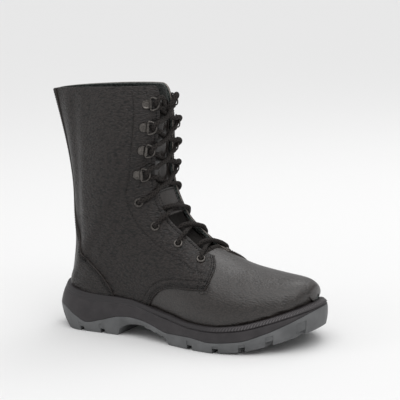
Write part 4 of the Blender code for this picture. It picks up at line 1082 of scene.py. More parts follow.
@dataclass
class SoleUnit:
    """The injected sole: black cup with its welt band, and grey lugged outsole."""

    sole: Sole
    tread_inset: float = 2.0*MM
    heel_inset: float = 6.0*MM
    groove_depth: float = 4.5*MM
    groove_width: float = 6.5*MM
    lip: float = 3.2*MM
    band: float = 3.4*MM
    band_out: float = 0.9*MM
    groove: float = 0.8*MM

    def cup_shape(self, along: np.ndarray, insets: np.ndarray, heights: np.ndarray,
                  slots: Sequence[int]) -> Shape:
        """Wall through rings of the outline, closed across at its last ring.

        Args:
            along: shares of the length.
            insets: array (rings, stations), how far each ring stands in.
            heights: array (rings, stations).
            slots: material number of each strip between rings.

        Returns:
            Shape with the girth and the height as UV places.
        """
        rings, places = [], []
        for inset, up in zip(insets, heights):
            x, right, left = self.sole.edge(along, inset)
            ring = np.vstack([np.stack([x, right, up], axis=1),
                              np.stack([x, left, up], axis=1)[::-1][1:-1]])
            rings.append(ring)
            closed = np.vstack([ring, ring[:1]])
            run = run_of(closed[:, :2])
            places.append(np.stack([run[:-1], ring[:, 2]], axis=1))
        wide = len(rings[0])
        faces = ring_faces(len(slots), wide)
        numbers = [slot for slot in slots for _ in range(wide)]
        base = (len(rings) - 1)*wide
        for k in range(len(along) - 1):
            rung = list(dict.fromkeys([base + k, base + k + 1, base + wide - k - 1, base + (wide - k) % wide]))
            if len(rung) > 2:
                faces.append(rung)
                numbers.append(slots[-1])
        return Shape(np.vstack(rings), faces, numbers, np.vstack(places))

    def make_cup(self, finishes: Finishes) -> None:
        """Black cup, whose rim closes on the leather."""
        along = self.sole.stations(420)
        join, rim, floor = (self.sole.high(name, along) for name in ("join", "rim", "floor"))
        lean = self.sole.read("lean", along)*self.sole.rim_lean
        inside = self.sole.cup_inset(along)
        strength = np.clip((along - 0.36)/0.14, 0, 1)
        faint = 0.35 + 0.65*strength
        shares = np.linspace(0, 1, 60)[::-1]**1.5
        insets, heights, slots = [self.lip + 0*along, self.lip + 0*along], [join - 1*MM, join + 0.2*MM], [0]
        wall = rim - join
        for share in shares:
            down = wall*share
            up = rim - down
            straight = lean*(1 - share)
            bulge = 0.9*MM*np.sin(math.pi*np.clip(share, 0, 1))
            band = self.band_out*strength*np.clip((self.band - down)/(0.5*MM), 0, 1)
            line = self.groove*faint*np.exp(-((down - self.band - 0.7*MM)/(0.55*MM))**2)
            second = 0.35*MM*(1 - strength)*np.exp(-((down - 6.2*MM)/(0.5*MM))**2)
            foot = 0.5*MM*np.exp(-((wall - down)/(0.5*MM))**2)
            insets.append(straight - bulge - band + line + second + foot)
            heights.append(up)
            slots.append(1 if share*13 < 3.3 else 0)
        band_top = lean - self.band_out*strength
        for step in (0.25, 0.6, 0.9):
            insets.append(band_top + 1.4*MM*step)
            heights.append(rim + 0.45*MM*math.sin(step*math.pi/2))
            slots.append(1)
        for extra, drop in ((0.6*MM, -0.3*MM), (1.5*MM, 0.0*MM), (2.0*MM, 0.8*MM), (2.6*MM, 7*MM)):
            insets.append(inside + extra)
            heights.append(rim - drop)
            slots.append(0)
        insets.append(inside + 2.6*MM)
        heights.append(floor)
        slots.append(0)
        slots = slots[:len(insets) - 1]
        shape = self.cup_shape(along, np.array(insets), np.array(heights), slots)
        add_piece("cup_sole", shape, [finishes.foam, finishes.band], ["midsole"], sharp=50)

    def tread(self, along: np.ndarray, across: np.ndarray) -> np.ndarray:
        """Depth of the tread's grooves, where across is -1 at the right edge and 1 at the left."""
        x = along*self.sole.length
        out = np.abs(across)
        depth = np.zeros(np.broadcast(along, across).shape)
        for start in LUG_GROOVES:
            near = start*self.sole.length
            inside = (x >= near) & (x <= near + self.groove_width) & (out > 0.45)
            depth = np.where(inside, self.groove_depth, depth)
        chevron = np.mod(x + 0.022*out, 0.0155) < 0.0048
        treaded = ((along > 0.05) & (along < 0.27)) | ((along > 0.55) & (along < 0.95))
        middle = chevron & treaded & (out < 0.40)
        rail = (np.abs(out - 0.43) < 0.025) & treaded
        depth = np.where(middle | rail, np.maximum(depth, 2.4*MM), depth)
        steps = (along > 0.40) & (along < 0.505) & (np.mod(x, 0.0095) < 0.0030) & (out > 0.5)
        return np.where(steps, 1.1*MM, depth)

    def make_outsole(self, finishes: Finishes) -> None:
        """Grey outsole with its lugs, in one skin over the tread and up to the cup."""
        edges = [start + shift for start in LUG_GROOVES
                 for shift in (-0.0002, 0.0006, self.groove_width/self.sole.length - 0.0006,
                               self.groove_width/self.sole.length + 0.0002)]
        along = np.unique(np.round(np.concatenate([self.sole.stations(380), edges,
                                                   np.linspace(0.28, 0.54, 60)]), 5))
        ground, join = self.sole.high("ground", along), self.sole.high("join", along)
        across = np.linspace(-1, 1, 81)
        grid_along, grid_across = np.meshgrid(along, across, indexing="ij")
        inset = self.tread_inset + self.heel_inset*np.clip(1 - along/0.1, 0, 1)**1.5
        x, right, left = self.sole.edge(along, inset)
        share = (grid_across + 1)/2
        y = right[:, None]*(1 - share) + left[:, None]*share
        hollow = (1.6*MM)*np.clip(1 - np.abs(along - 0.40)/0.10, 0, 1)[:, None]*(1 - grid_across**2)
        z = ground[:, None] + self.tread(grid_along, grid_across) + hollow
        bottom = np.stack([np.broadcast_to(x[:, None], y.shape), y, z], axis=2)
        high, wide = y.shape
        shapes = [Shape(bottom.reshape(-1, 3), grid_faces(high, wide, 0, True), [0]*((high - 1)*(wide - 1)),
                        bottom[..., :2].reshape(-1, 2))]
        in_groove = self.tread(along, np.ones_like(along)) > 3*MM
        for column, line in ((0, right), (wide - 1, left)):
            strips = []
            for share_up in np.linspace(0, 1, 14):
                foot = z[:, column]
                up = foot + (join - foot)*share_up
                level = np.clip((up - ground)/np.maximum(join - ground, 1*MM), 0, 1)
                stand = inset*(1 - level)**1.6 - 0.5*MM*np.sin(math.pi*level)
                stand = stand + np.where(in_groove & (level < 0.72), 0.7*MM, 0.0)
                sx, sr, sl = self.sole.edge(along, stand if share_up else inset)
                strips.append(np.stack([sx, sr if column == 0 else sl, up], axis=1))
            for lift, step in ((0.0, 0.5*MM), (-0.3*MM, self.lip)):
                sx, sr, sl = self.sole.edge(along, step + 0*along)
                strips.append(np.stack([sx, sr if column == 0 else sl, join + lift], axis=1))
            wall = np.stack(strips)
            faces = grid_faces(wall.shape[0], wall.shape[1], 0, column == 0)
            faces = [face[::-1] for face in faces]
            shapes.append(Shape(wall.reshape(-1, 3), faces, [0]*len(faces), wall[..., [0, 2]].reshape(-1, 2)))
        add_piece("lug_outsole", join_shapes(shapes), [finishes.rubber], ["outsole"], sharp=35,
                  weld=WELD)


@dataclass
class Upper:
    """Leather of the boot: vamp and lining, quarters, counter with its backstay, tongue and patch."""

    last: Last
    wall: float = 2.0*MM
    gap: float = 0.3*MM
    quarter: float = 1.6*MM
    counter: float = 1.4*MM
    tongue: float = 2.5*MM
    patch: float = 1.2*MM
    near_corner: float = 5.0*MM
    far_corner: float = 12.0*MM
    column_step: float = 14.0*MM
    row_step: float = 10.8*MM
    edge_roll: float = 0.8*MM
    fine_pitch: float = 2.6*MM
    wide_pitch: float = 3.0*MM
    thread_sunk: float = 0.2*MM
    quarter_seams: tuple[float, float] = (2.3*MM, 4.3*MM)
    lining_seam: float = 9.6*MM
    facing_seam: float = 3.0*MM
    counter_seams: tuple[float, float] = (2.0*MM, 4.2*MM)
    stitches: list = field(default_factory=list)

    def spot(self, along: float, up: float) -> tuple[float, float]:
        """X and Z of an outline's point, from shares of the sole's length and the instep's height."""
        sole = self.last.sole
        return along*sole.length - sole.heel_rest, up*self.last.instep

    def top_row(self, column: np.ndarray) -> np.ndarray:
        """Row where a column ends at the collar, with the facing's corner rounded off."""
        column = np.asarray(column, float)
        corner = np.where(column < MIDDLE, self.near_corner, self.far_corner)
        away = np.abs(np.abs(column - MIDDLE) - HALF_THROAT)*self.column_step
        near = np.clip(corner - away, 0, None)
        return LAST_ROW - (corner - np.sqrt(np.maximum(corner**2 - near**2, 0)))/self.row_step

    def covers(self, side: Side, outline: np.ndarray, row: float, column: float) -> tuple[bool, np.ndarray]:
        """Whether a place of the last lies inside a side view outline, and its point."""
        point = self.last.line(np.array([(row, side.column(column))]))[0]
        return inside(outline, point[0], point[2]), point

    def sew(self, face: np.ndarray, outer: np.ndarray, line: np.ndarray, lift: float, pitch: float,
            depth: float, width: float = 0.85*MM) -> np.ndarray:
        """Sews along a line and keeps its stitches.

        Args:
            face: points of the sheet's grid.
            outer: heights of its face over the last.
            line: array (n, 2) of rows and columns.
            lift: height of the thread's middle.
            pitch: distance from stitch to stitch.
            depth: how deep the seam is pressed in.
            width: half width of its groove.

        Returns:
            The heights with the seam pressed in.
        """
        self.stitches.append(stitch_shape(self.last, line, lift, pitch))
        return outer - depth*np.exp(-(distances(face, self.last.line(line))/width)**2)

    def make_shell(self, finishes: Finishes) -> None:
        """Vamp and inner quarters in one, lined with knit."""
        rows = np.linspace(0, LAST_ROW, 176)
        close = HALF_THROAT + np.linspace(0, 1, 22)
        columns = np.unique(np.round(np.concatenate([np.linspace(0, LAST_COLUMN, 169), MIDDLE - close,
                                                     MIDDLE + close]), 4))
        row, column = np.meshgrid(rows, columns, indexing="ij")
        row = np.where(row > 23, 23 + (row - 23)*(self.top_row(column) - 23)/2, row)
        centre = (columns[:-1] + columns[1:])/2
        middle = (rows[:-1] + rows[1:])/2
        mask = (middle[:, None] < THROAT_ROW) | (np.abs(centre[None, :] - MIDDLE) > HALF_THROAT)
        shape = sheet_shape(self.last, row, column, np.zeros_like(row), -self.wall, mask)
        add_piece("lined_vamp", shape, [finishes.vamp, finishes.lining, finishes.lining], ["upper"],
                  weld=WELD)

    def quarter_edge(self, side: Side) -> np.ndarray:
        """Places along a quarter's lower edge, from its tab's top to the cup."""
        foot = self.spot(0.430, 0.36)
        low = bezier(foot, self.spot(0.462, 0.61), self.spot(0.545, 0.635), 16)
        tab = bezier(self.spot(0.670, 0.650), self.spot(0.695, 0.84), self.spot(0.648, 0.935), 16)
        slope = (tab[-1][0] - 0.020, tab[-1][1] + 0.05)
        outline = np.vstack([low, tab, [slope, (-0.3, 0.3), (-0.3, -0.1), (foot[0] - 0.004, -0.1)]])
        columns = np.concatenate([np.linspace(10, 5.2, 60), np.linspace(5.16, 0, 100)])
        rows = [sum(halve(lambda row: self.covers(side, outline, row, column)[0], 17.0, 5.0, 18))/2
                for column in columns]
        places = np.stack([rows, columns], axis=1)
        run = run_of(self.last.line(np.stack([rows, side.column(columns)], axis=1)))
        return softened(read_path(places, run, np.linspace(0, run[-1], 170)), 3)

    def make_quarter(self, side: Side, finishes: Finishes) -> None:
        """Outer quarter with its lacing tab, seams and eyelet holes left to the eyelets."""
        edge = self.quarter_edge(side)
        share = np.linspace(0, 1, len(edge))
        end_column = 10*(1 - share)
        end_row = self.top_row(side.column(end_column))
        near = np.array([0, 0.15, 0.35, 0.6, 0.9, 1.3, 1.8, 2.4, 3.1, 4.0])*MM
        length = 0.16
        t = np.concatenate([near/length, np.linspace(5*MM/length, 1 - 3*MM/length, 135),
                            1 - near[::-1][3:]/length])
        rows = edge[:, :1] + (end_row - edge[:, 0])[:, None]*t
        columns = edge[:, 1:] + (end_column - edge[:, 1])[:, None]*t
        close = np.array([0, 0.02, 0.045, 0.08, 0.13, 0.2])
        packed = np.concatenate([close*0.008, np.linspace(0.002, 1, len(edge) - 6)])
        rows, columns = (read_path(grid, share, packed) for grid in (rows, columns))
        columns = side.column(columns)
        edge = np.stack([edge[:, 0], side.column(edge[:, 1])], axis=1)
        point = self.last.read(rows, columns)[0]
        facing = np.stack([rows[0, ::-1], columns[0, ::-1]], axis=1)
        collar = np.stack([rows[::-1, -1], columns[::-1, -1]], axis=1)
        away = distances(point, self.last.line(np.vstack([collar, facing, edge])))
        top = self.gap + self.quarter
        outer = rounded(away, self.gap, top, self.edge_roll)
        low = edge[np.abs(edge[:, 1] - MIDDLE) > 5.6]
        band = np.array([(24.4, 8.1), (23.25, 8.12), (21.75, 8.0), (19.5, 8.0), (16.5, 7.85), (14.4, 7.72),
                         (13.1, 7.52), (11.6, 7.40), (10.4, 7.36), (9.25, 7.22), (8.1, 7.0)])
        band = self.last.fine_places(band, 10)
        band[:, 1] = side.column(band[:, 1])
        front = np.stack([np.linspace(THROAT_ROW, 24.3, 120),
                          np.full(120, MIDDLE + HALF_THROAT*side.value)], axis=1)
        seams = [(self.last.inset_line(edge, inset, side.value), self.fine_pitch)
                 for inset in self.quarter_seams]
        seams += [(self.last.inset_line(low, self.lining_seam, side.value), self.wide_pitch),
                  (band, self.wide_pitch),
                  (self.last.inset_line(front, self.facing_seam, -side.value), self.fine_pitch)]
        for line, pitch in seams:
            outer = self.sew(point, outer, line, top - self.thread_sunk, pitch, 0.50*MM)
        # The facing and collar edges take the painted highlight.
        pale = np.zeros(rows.shape, bool)
        pale[0] = pale[:, -1] = True
        name = "quarter_" + side.label
        add_piece("leather_" + name, sheet_shape(self.last, rows, columns, outer, self.gap, pale=pale),
                  [finishes.shaft, finishes.cut_edge, finishes.lining, finishes.edge_highlight], [name],
                  weld=WELD)

    def counter_reach(self, side: Side, rows: np.ndarray) -> np.ndarray:
        """Columns that the counter and the backstay cover on each row."""
        foot = self.spot(0.286, 0.42)
        up = bezier(foot, self.spot(0.275, 0.66), self.spot(0.170, 0.93), 20)
        tip = up[-1][0]
        outline = np.vstack([[(foot[0], -0.1)], up, [(tip - 0.004, 0.11), (tip - 0.006, 0.3), (-0.3, 0.3),
                                                    (-0.3, -0.1)]])
        climb = np.array([0.313, 0.352, 0.401, 0.470, 0.587, 0.74, 0.87, 1.05])*self.last.collar
        half = np.array([47.5, 35.0, 28.0, 23.0, 15.0, 8.0, 4.5, 3.5])*MM

        def covered(row: float, column: float) -> bool:
            """Whether the overlay lies over a place, which above the counter is only its strap."""
            within, point = self.covers(side, outline, row, column)
            return within and (point[2] < climb[0] or abs(point[1]) < np.interp(point[2], climb, half))

        reach = [halve(lambda column: covered(row, column), 0.0, 5.0, 16)[0] for row in rows]
        return softened(np.array(reach), 6)

    def make_counter(self, finishes: Finishes) -> None:
        """Heel counter and backstay in one overlay."""
        rows = np.linspace(13.05, LAST_ROW, 190)
        near = np.array([0, 0.15, 0.35, 0.6, 0.9, 1.4, 2.0, 3.0])*MM
        t = np.concatenate([np.linspace(0, 1, 46)[:-1]*0.9, 1 - near[::-1]/0.04])
        shapes = []
        inner = 2*self.gap + self.quarter
        top = inner + self.counter
        for side in Side:
            reach = self.counter_reach(side, rows)
            used, reach = rows[reach > 0.02], reach[reach > 0.02]
            row = np.broadcast_to(used[:, None], (len(used), len(t))).copy()
            column = side.column(reach[:, None]*t[None, :])
            edge = np.stack([used, side.column(reach)], axis=1)
            point = self.last.read(row, column)[0]
            outer = rounded(distances(point, self.last.line(edge)), inner, top, self.edge_roll)
            for distance in self.counter_seams:
                line = self.last.inset_line(edge, distance, -side.value)
                line = line[(np.abs(line[:, 1] - MIDDLE) < 11.9)]
                outer = self.sew(point, outer, line, top - self.thread_sunk, self.fine_pitch, 0.55*MM)
            shapes.append(sheet_shape(self.last, row, column, outer, inner))
        add_piece("leather_counter", join_shapes(shapes), [finishes.shaft, finishes.cut_edge, finishes.lining],
                  ["counter"], weld=WELD)

    def make_tongue(self, finishes: Finishes) -> None:
        """Tongue with soft folds along it, lined with knit; its face low in the throat and its cut edges are
        painted near black as shade.
        """
        top = 23.6
        row, column = np.meshgrid(np.linspace(8.0, top, 170), np.linspace(9, 15, 90), indexing="ij")
        across = (column - MIDDLE)/3
        height = -self.wall - self.gap
        fade = np.clip((row - THROAT_ROW)/3, 0, 1)
        folds = 0.9*MM*np.sin(across*7.5 + 0.35*row) + 0.5*MM*np.sin(across*13 - 0.5*row + 1.0)
        sunk = 4.0*MM*np.exp(-((row - 10.8)/1.6)**2)*(1 - across**4)
        outer = height - 0.6*MM + fade*folds*(1 - across**4) - sunk
        edge = np.clip((top - row)/0.35, 0, 1)
        outer = outer - (1 - np.sqrt(1 - (1 - edge)**2))*1.6*MM
        shape = sheet_shape(self.last, row, column, outer, height - self.tongue - 4.2*MM)
        # Painted shade: the tongue's face low in the throat takes the near-black throat finish.
        throat_shade = (row[:-1, :-1] < 12.7).ravel()
        shape.slots[:len(throat_shade)] = [int(low) for low in throat_shade]
        add_piece("soft_tongue", shape, [finishes.tongue, finishes.throat_shade, finishes.lining], ["tongue"])

    def make_patch(self, finishes: Finishes) -> None:
        """Patch on the lower tongue, sewn on along three of its sides."""
        row, share = np.meshgrid(np.linspace(12.75, 14.7, 60), np.linspace(-1, 1, 50), indexing="ij")
        column = MIDDLE + 1.72*share
        points = self.last.read(row, column)[0]
        away = distances(points, np.vstack([points[0], points[:, -1], points[-1][::-1], points[::-1, 0]]))
        base = -self.wall
        corners = np.array([(12.85, 13.5), (14.5, 13.5), (14.5, 10.5), (12.85, 10.5)])
        line = np.vstack([even_steps(corners[k:k + 2], 40) for k in range(3)])
        outer = self.sew(points, rounded(away, base, base + self.patch, 0.7*MM), line,
                         base + self.patch - 0.1*MM, 2.8*MM, 0.25*MM, 0.7*MM)
        # Every cut edge of the patch takes the painted highlight.
        add_piece("stitched_patch", sheet_shape(self.last, row, column, outer, base),
                  [finishes.tongue, finishes.edge_highlight, finishes.lining], ["tongue_patch"])

    def make_stitches(self, finishes: Finishes) -> None:
        """Every seam's thread, in one piece."""
        add_piece("seam_thread", join_shapes(self.stitches), [finishes.thread], sharp=80)


def inside(outline: np.ndarray, x: float, z: float) -> bool:
    """Whether a point lies inside a closed outline."""
    ax, az = outline[:, 0], outline[:, 1]
    bx, bz = np.roll(ax, -1), np.roll(az, -1)
    spans = (az > z) != (bz > z)
    with np.errstate(divide="ignore", invalid="ignore"):
        cut = ax + (z - az)*(bx - ax)/(bz - az)
    return bool(np.count_nonzero(spans & (x < cut)) % 2)


def lathe(profile: Sequence[tuple[float, float]], sides: int) -> Shape:
    """Ring turned about Z from a closed profile of radius and height."""
    turn = np.arange(sides)*math.tau/sides
    radius, up = np.array(profile).T
    points = np.stack([np.cos(turn)[:, None]*radius, np.sin(turn)[:, None]*radius,
                       np.broadcast_to(up, (sides, len(up)))], axis=2)
    around = len(profile)
    faces = []
    for k in range(sides):
        after = (k + 1) % sides
        for j in range(around):
            ahead = (j + 1) % around
            faces.append([k*around + j, after*around + j, after*around + ahead, k*around + ahead])
    return Shape(points.reshape(-1, 3), faces, [0]*len(faces))


@dataclass
class Lacing:
    """Eyelets, loops with their wire rings, and the lace that runs through them."""

    last: Last
    seat: float = 2.7*MM
    bore: float = 2.3*MM
    flange: float = 4.8*MM
    plate_length: float = 8.5*MM
    plate_width: float = 8.8*MM
    plate_metal: float = 0.7*MM
    wire: float = 1.5*MM
    play: float = 0.3*MM
    ring_height: float = 12.8*MM
    ring_reach: float = 8.6*MM
    ring_tilt: float = 13.0
    lace: float = 4.6*MM

    def add_hardware(self, name: str, shape: Shape, place: Matrix, finishes: Finishes, replaced: str) -> None:
        """Adds a metal piece at its seat."""
        turned = np.array([place @ Vector(point) for point in shape.points])
        add_piece(name, Shape(turned, shape.faces, shape.slots, None), [finishes.metal], [replaced],
                  sharp=50)

    def eyelet_shape(self) -> Shape:
        """Rolled eyelet: a round flange and a barrel down through the leather."""
        profile = [(self.bore, -3.6*MM), (self.bore, 0.3*MM)]
        middle, half = (self.bore + self.flange)/2, (self.flange - self.bore)/2
        for k in range(13):
            turn = math.pi - math.pi*k/12
            profile.append((middle + half*math.cos(turn), 0.1*MM + 1.25*MM*math.sin(turn)))
        profile += [(self.flange, -0.5*MM), (self.bore + 0.4*MM, -0.6*MM), (self.bore + 0.4*MM, -3.6*MM)]
        return lathe(profile, 40)

    def loop_shape(self) -> Shape:
        """Plate with a round back, dished, whose front end is rolled into a barrel."""
        middle = self.plate_metal + self.wire/2 + self.play
        small = self.wire/2 + self.play
        large = small + self.plate_metal
        half = self.plate_width/2
        lower, upper, wide = [], [], []
        for share in np.linspace(0, 1, 16):
            x = -self.plate_length*(1 - share)*0.98
            away = self.plate_length*share + 0.25*MM
            near = max(0.0, 1 - away/half)
            lower.append((x, 0.0))
            upper.append((x, self.plate_metal))
            wide.append(half*math.sqrt(max(0.02, 1 - near*near)))
        for k in range(1, 19):
            turn = math.radians(-90 + 290*k/18)
            lower.append((large*math.cos(turn), middle + large*math.sin(turn)))
            upper.append((small*math.cos(turn), middle + small*math.sin(turn)))
            wide.append(half)
        across = np.linspace(-1, 1, 13)
        points = []
        for line, outer in ((lower, False), (upper, True)):
            for (x, z), w, k in zip(line, wide, range(len(wide))):
                flat = k < 16 and outer
                for a in across:
                    rise = 0.0
                    if flat:
                        border = min(1 - abs(a), (k + 0.4)/16*1.6, (16.4 - k)/16*1.6)
                        rise = -0.28*MM*min(1.0, max(0.0, border - 0.16)*9) + 0.1*MM
                    points.append((x, a*w, z + rise))
        count, wide_count = len(wide), len(across)
        upper_start = count*wide_count
        faces = grid_faces(count, wide_count, 0, True) + grid_faces(count, wide_count, upper_start, False)
        for k in range(count - 1):
            for j in (0, wide_count - 1):
                a, b = k*wide_count + j, (k + 1)*wide_count + j
                faces.append([a, b, upper_start + b, upper_start + a][::1 if j == 0 else -1])
        for j in range(wide_count - 1):
            for k in (0, count - 1):
                a = k*wide_count + j
                faces.append([a, a + 1, upper_start + a + 1, upper_start + a][::-1 if k == 0 else 1])
        return Shape(np.array(points), faces, [0]*len(faces))

    def ring_shape(self) -> Shape:
        """D-shaped wire ring whose bow tilts off the leather."""
        middle = self.plate_metal + self.wire/2 + self.play
        tilt = math.radians(self.ring_tilt)
        half = self.ring_height/2
        flat = [(0.0, -half*0.78), (0.0, 0.0), (0.0, half*0.78), (0.5*MM, half*0.96)]
        for k in range(1, 12):
            turn = math.pi/2 - math.pi*k/12
            flat.append((self.ring_reach*(0.18 + 0.82*math.cos(turn)), half*math.sin(turn)))
        flat.append((0.5*MM, -half*0.96))
        bent = np.array([(r*math.cos(tilt), y, middle + r*math.sin(tilt)) for r, y in flat])
        run = np.vstack([bent[-3:], bent, bent[:3]])
        knots = run_of(run)
        fine = natural_spline(knots, run, np.linspace(knots[3], knots[len(bent) + 3], 73)[:-1])
        return tube_shape(fine, self.wire/2, 12, closed=True)

    def make_hardware(self, finishes: Finishes) -> None:
        """Eyelets, plates and rings on both sides."""
        for side in Side:
            for number, spot in enumerate(EYELETS, 1):
                name = "eyelet_%s_%d" % (side.label, number)
                self.add_hardware("rolled_" + name, self.eyelet_shape(),
                                  self.last.seat(side, spot, self.seat - 0.5*MM), finishes, name)
            for number, spot in enumerate(LOOPS, 1):
                place = self.last.seat(side, spot, self.seat - 0.6*MM)
                for name, shape, replaced in (("plate", self.loop_shape(), "loop"),
                                              ("wire_ring", self.ring_shape(), "dring")):
                    ending = "_%s_%d" % (side.label, number)
                    self.add_hardware(name + ending, shape, place, finishes, replaced + ending)

    def points(self, spots: Sequence[tuple[Side, float, float, float]]) -> list[np.ndarray]:
        """Points given as side, share down the facing, distance in from its edge and height, in mm."""
        return [np.array(self.last.beside(side, down, inward*MM, lift*MM)[0])
                for side, down, inward, lift in spots]

    def crossing(self, side: Side, low: float, high: float, above: bool, under: bool) -> list[np.ndarray]:
        """Crossing from one facing's edge to the other's.

        Args:
            side: the facing it leaves.
            low: share down the facing where it starts.
            high: share where it ends.
            above: whether it lies on top of the other crossing.
            under: whether it dives under the far facing.

        Returns:
            The points of the crossing.
        """
        height = 3.0 if above else -0.8
        rise = high - low
        leave, arrive = (0.12, 0.52) if under else (0.30, 0.86)
        start = [(side, low + leave*rise, -0.3, 3.9), (side, low + (leave + 0.08)*rise, -5.5, 1.6 + 0.6*height)]
        centre = self.points([(each, low + 0.5*(leave + arrive)*rise, -16.0, 1.0 + height) for each in Side])
        end = [(side.other, low + (arrive - 0.08)*rise, -5.5, 0.8 + 0.5*height),
               (side.other, low + arrive*rise, 0.3 if under else -1.0, -2.6 if under else 3.4)]
        return self.points(start) + [(centre[0] + centre[1])/2] + self.points(end)

    def strand(self, first: Side) -> np.ndarray:
        """Path of the lace's half that leaves the lowest bar on one side."""
        side = first
        knots = self.points([(side, EYELETS[3].down, -9.0, -0.2), (side, EYELETS[3].down, 2.0, -2.6)])
        order = EYELETS[::-1] + LOOPS[::-1]
        for k, spot in enumerate(order):
            inward = spot.inward/MM
            if k < 4:
                knots += self.points([(side, spot.down, inward*0.55, -3.2),
                                      (side, spot.down, inward + 0.3, -2.4),
                                      (side, spot.down, inward + 0.2, 1.2),
                                      (side, spot.down - 0.004, inward - 2.4, 4.3),
                                      (side, spot.down - 0.012, inward*0.4, 4.2)])
            else:
                knots += self.ring_turn(side, spot)
            if k < 7:
                above = (side is Side.LEFT) == (k < 3)
                knots += self.crossing(side, spot.down, order[k + 1].down, above, k < 3)
            side = side.other
        side = side.other
        end = LOOPS[0].down
        knots += self.points([(side, end - 0.010, -2.5, 4.4), (side, end + 0.005, -7.0, 2.4),
                              (side, end + 0.035, -10.0, -2.0), (side, end + 0.07, -9.0, -6.0)])
        return smooth_path(knots, 0.9*MM)

    def ring_turn(self, side: Side, spot: Fastening) -> list[np.ndarray]:
        """Points of the lace going under a ring's bow, round it and back over it."""
        inward = spot.inward/MM
        reach = self.ring_reach/MM
        tilt = math.radians(self.ring_tilt)
        wire = self.seat/MM - 0.6 + 1.6 + reach*math.sin(tilt)
        near = inward - reach*math.cos(tilt)
        return self.points([(side, spot.down + 0.016, near - 1.5, wire - 3.0),
                            (side, spot.down + 0.010, near + 2.0, wire - 2.8),
                            (side, spot.down - 0.004, near + 3.8, wire - 0.6),
                            (side, spot.down - 0.020, near + 2.6, wire + 1.9),
                            (side, spot.down - 0.034, near - 1.0, wire + 0.9)])

    def make_lace(self, finishes: Finishes) -> None:
        """The lace, in the two halves that meet in its lowest bar."""
        shapes = [tube_shape(self.strand(side), self.lace/2, 14) for side in Side]
        ends = [self.strand(side)[0] for side in Side]
        bar = smooth_path([ends[0], (ends[0] + ends[1])/2 + np.array([0, 0, 0.5*MM]), ends[1]], 0.9*MM)
        shapes.append(tube_shape(bar, self.lace/2, 14))
        names = ["lace_bar"] + ["lace_cross_%d" % number for number in range(1, 8)]
        add_piece("braided_lace", join_shapes(shapes), [finishes.cord], names, sharp=80)


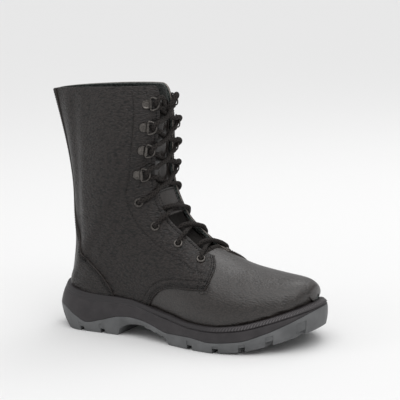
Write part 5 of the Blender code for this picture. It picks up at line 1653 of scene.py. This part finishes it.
@dataclass
class Studio:
    """Pale floor, soft lights and the camera."""

    floor: str = "e6e6e6"
    azimuth: float = 32.274
    elevation: float = 10.825
    roll: float = 3.109
    distance: float = 1.4775
    target: tuple[float, float, float] = (0.13508, 0.0, 0.13984)
    lens: float = 131.9

    def make_camera(self) -> None:
        """Camera at the photo's angle to the boot."""
        turn, lift, roll = (math.radians(v) for v in (self.azimuth, self.elevation, self.roll))
        back = Vector((math.sin(turn)*math.cos(lift), -math.cos(turn)*math.cos(lift), math.sin(lift)))
        right = Vector((math.cos(turn), math.sin(turn), 0.0))
        down = (-back).cross(right)
        right, down = math.cos(roll)*right + math.sin(roll)*down, math.cos(roll)*down - math.sin(roll)*right
        camera = bpy.data.cameras.new("photo_camera")
        camera.lens = self.lens
        camera.sensor_width = 36.0
        item = place_item("photo_camera", camera)
        place = Matrix.Translation(Vector(self.target) + self.distance*back)
        item.matrix_world = place @ Matrix((right, -down, back)).transposed().to_4x4()
        bpy.context.scene.camera = item

    def make_floor(self) -> None:
        """Wide pale floor."""
        mesh = bpy.data.meshes.new("studio_floor")
        size = 30.0
        corners = [(-size, -size, 0), (size, -size, 0), (size, size, 0), (-size, size, 0)]
        mesh.from_pydata(corners, [], [(0, 1, 2, 3)])
        material = bpy.data.materials.new("white_paper")
        material.use_nodes = True
        shader = material.node_tree.nodes["Principled BSDF"]
        shader.inputs["Base Color"].default_value = linear(self.floor)
        shader.inputs["Roughness"].default_value = 0.9
        shader.inputs["Specular IOR Level"].default_value = 0.1
        mesh.materials.append(material)
        place_item("studio_floor", mesh)

    def make_light(self, name: str, kind: str, place: Sequence[float], target: Sequence[float], power: float,
                   **settings: object) -> None:
        """Adds a light.

        Args:
            name: its name.
            kind: its type.
            place: where it stands.
            target: where it points.
            power: its energy.
            settings: attributes of the light.
        """
        light = bpy.data.lights.new(name, kind)
        light.energy = power
        for key, value in settings.items():
            setattr(light, key, value)
        item = place_item(name, light)
        item.location = place
        item.rotation_euler = (Vector(target) - Vector(place)).to_track_quat("-Z", "Y").to_euler()

    def make(self) -> None:
        """Camera, floor and lights."""
        self.make_camera()
        self.make_floor()
        world = bpy.data.worlds.new("studio")
        world.use_nodes = True
        background = world.node_tree.nodes["Background"]
        background.inputs["Color"].default_value = (1.0, 1.0, 1.0, 1.0)
        background.inputs["Strength"].default_value = 0.56
        bpy.context.scene.world = world
        # The plain transform keeps the paper near white and the leather's blacks deep.
        bpy.context.scene.view_settings.view_transform = "Standard"
        self.make_light("overhead_scrim", "SUN", (0.25, -0.15, 1.0), (0, 0, 0), 1.52, angle=math.radians(75.0))
        for name, place, size, power in (("front_softbox", (1.3, -0.7, 1.3), 0.8, 3.5),
                                         ("side_softbox", (-1.2, -0.8, 1.2), 0.8, 2.5),
                                         ("rear_softbox", (0.15, 0.9, 1.3), 0.7, 3.2)):
            self.make_light(name, "AREA", place, (0.08, 0, 0.12), power, shape="SQUARE", size=size)


CREASES = [
    Crease([(19.4, 9.6), (18.6, 7.0), (17.8, 4.6), (17.4, 2.6)], 0.8*MM, 5.0*MM),
    Crease([(17.0, 9.4), (15.8, 7.2), (15.4, 4.6)], 0.6*MM, 4.0*MM),
    Crease([(19.6, 14.4), (18.8, 17.0), (18.0, 19.4), (17.4, 21.4)], 0.8*MM, 5.0*MM),
    Crease([(24.4, 2.6), (22.0, 2.5), (20.0, 2.3), (18.6, 2.0)], 1.2*MM, 7.0*MM),
]


def main() -> None:
    """Builds the boot's assemblies in order."""
    logging.basicConfig(level=logging.INFO, format="%(message)s")
    finishes = Finishes()
    sole = Sole()
    last = Last(sole, CREASES)
    LOG.info("last: %d by %d places", *last.points.shape[:2])
    unit = SoleUnit(sole)
    unit.make_cup(finishes)
    unit.make_outsole(finishes)
    upper = Upper(last)
    upper.make_shell(finishes)
    for side in Side:
        upper.make_quarter(side, finishes)
    upper.make_counter(finishes)
    upper.make_tongue(finishes)
    upper.make_patch(finishes)
    upper.make_stitches(finishes)
    lacing = Lacing(last)
    lacing.make_hardware(finishes)
    lacing.make_lace(finishes)
    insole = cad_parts["insole"].material_slots[0]
    insole.link = "OBJECT"
    insole.material = finishes.lining
    Studio().make()


if __name__ == "__main__":
    main()
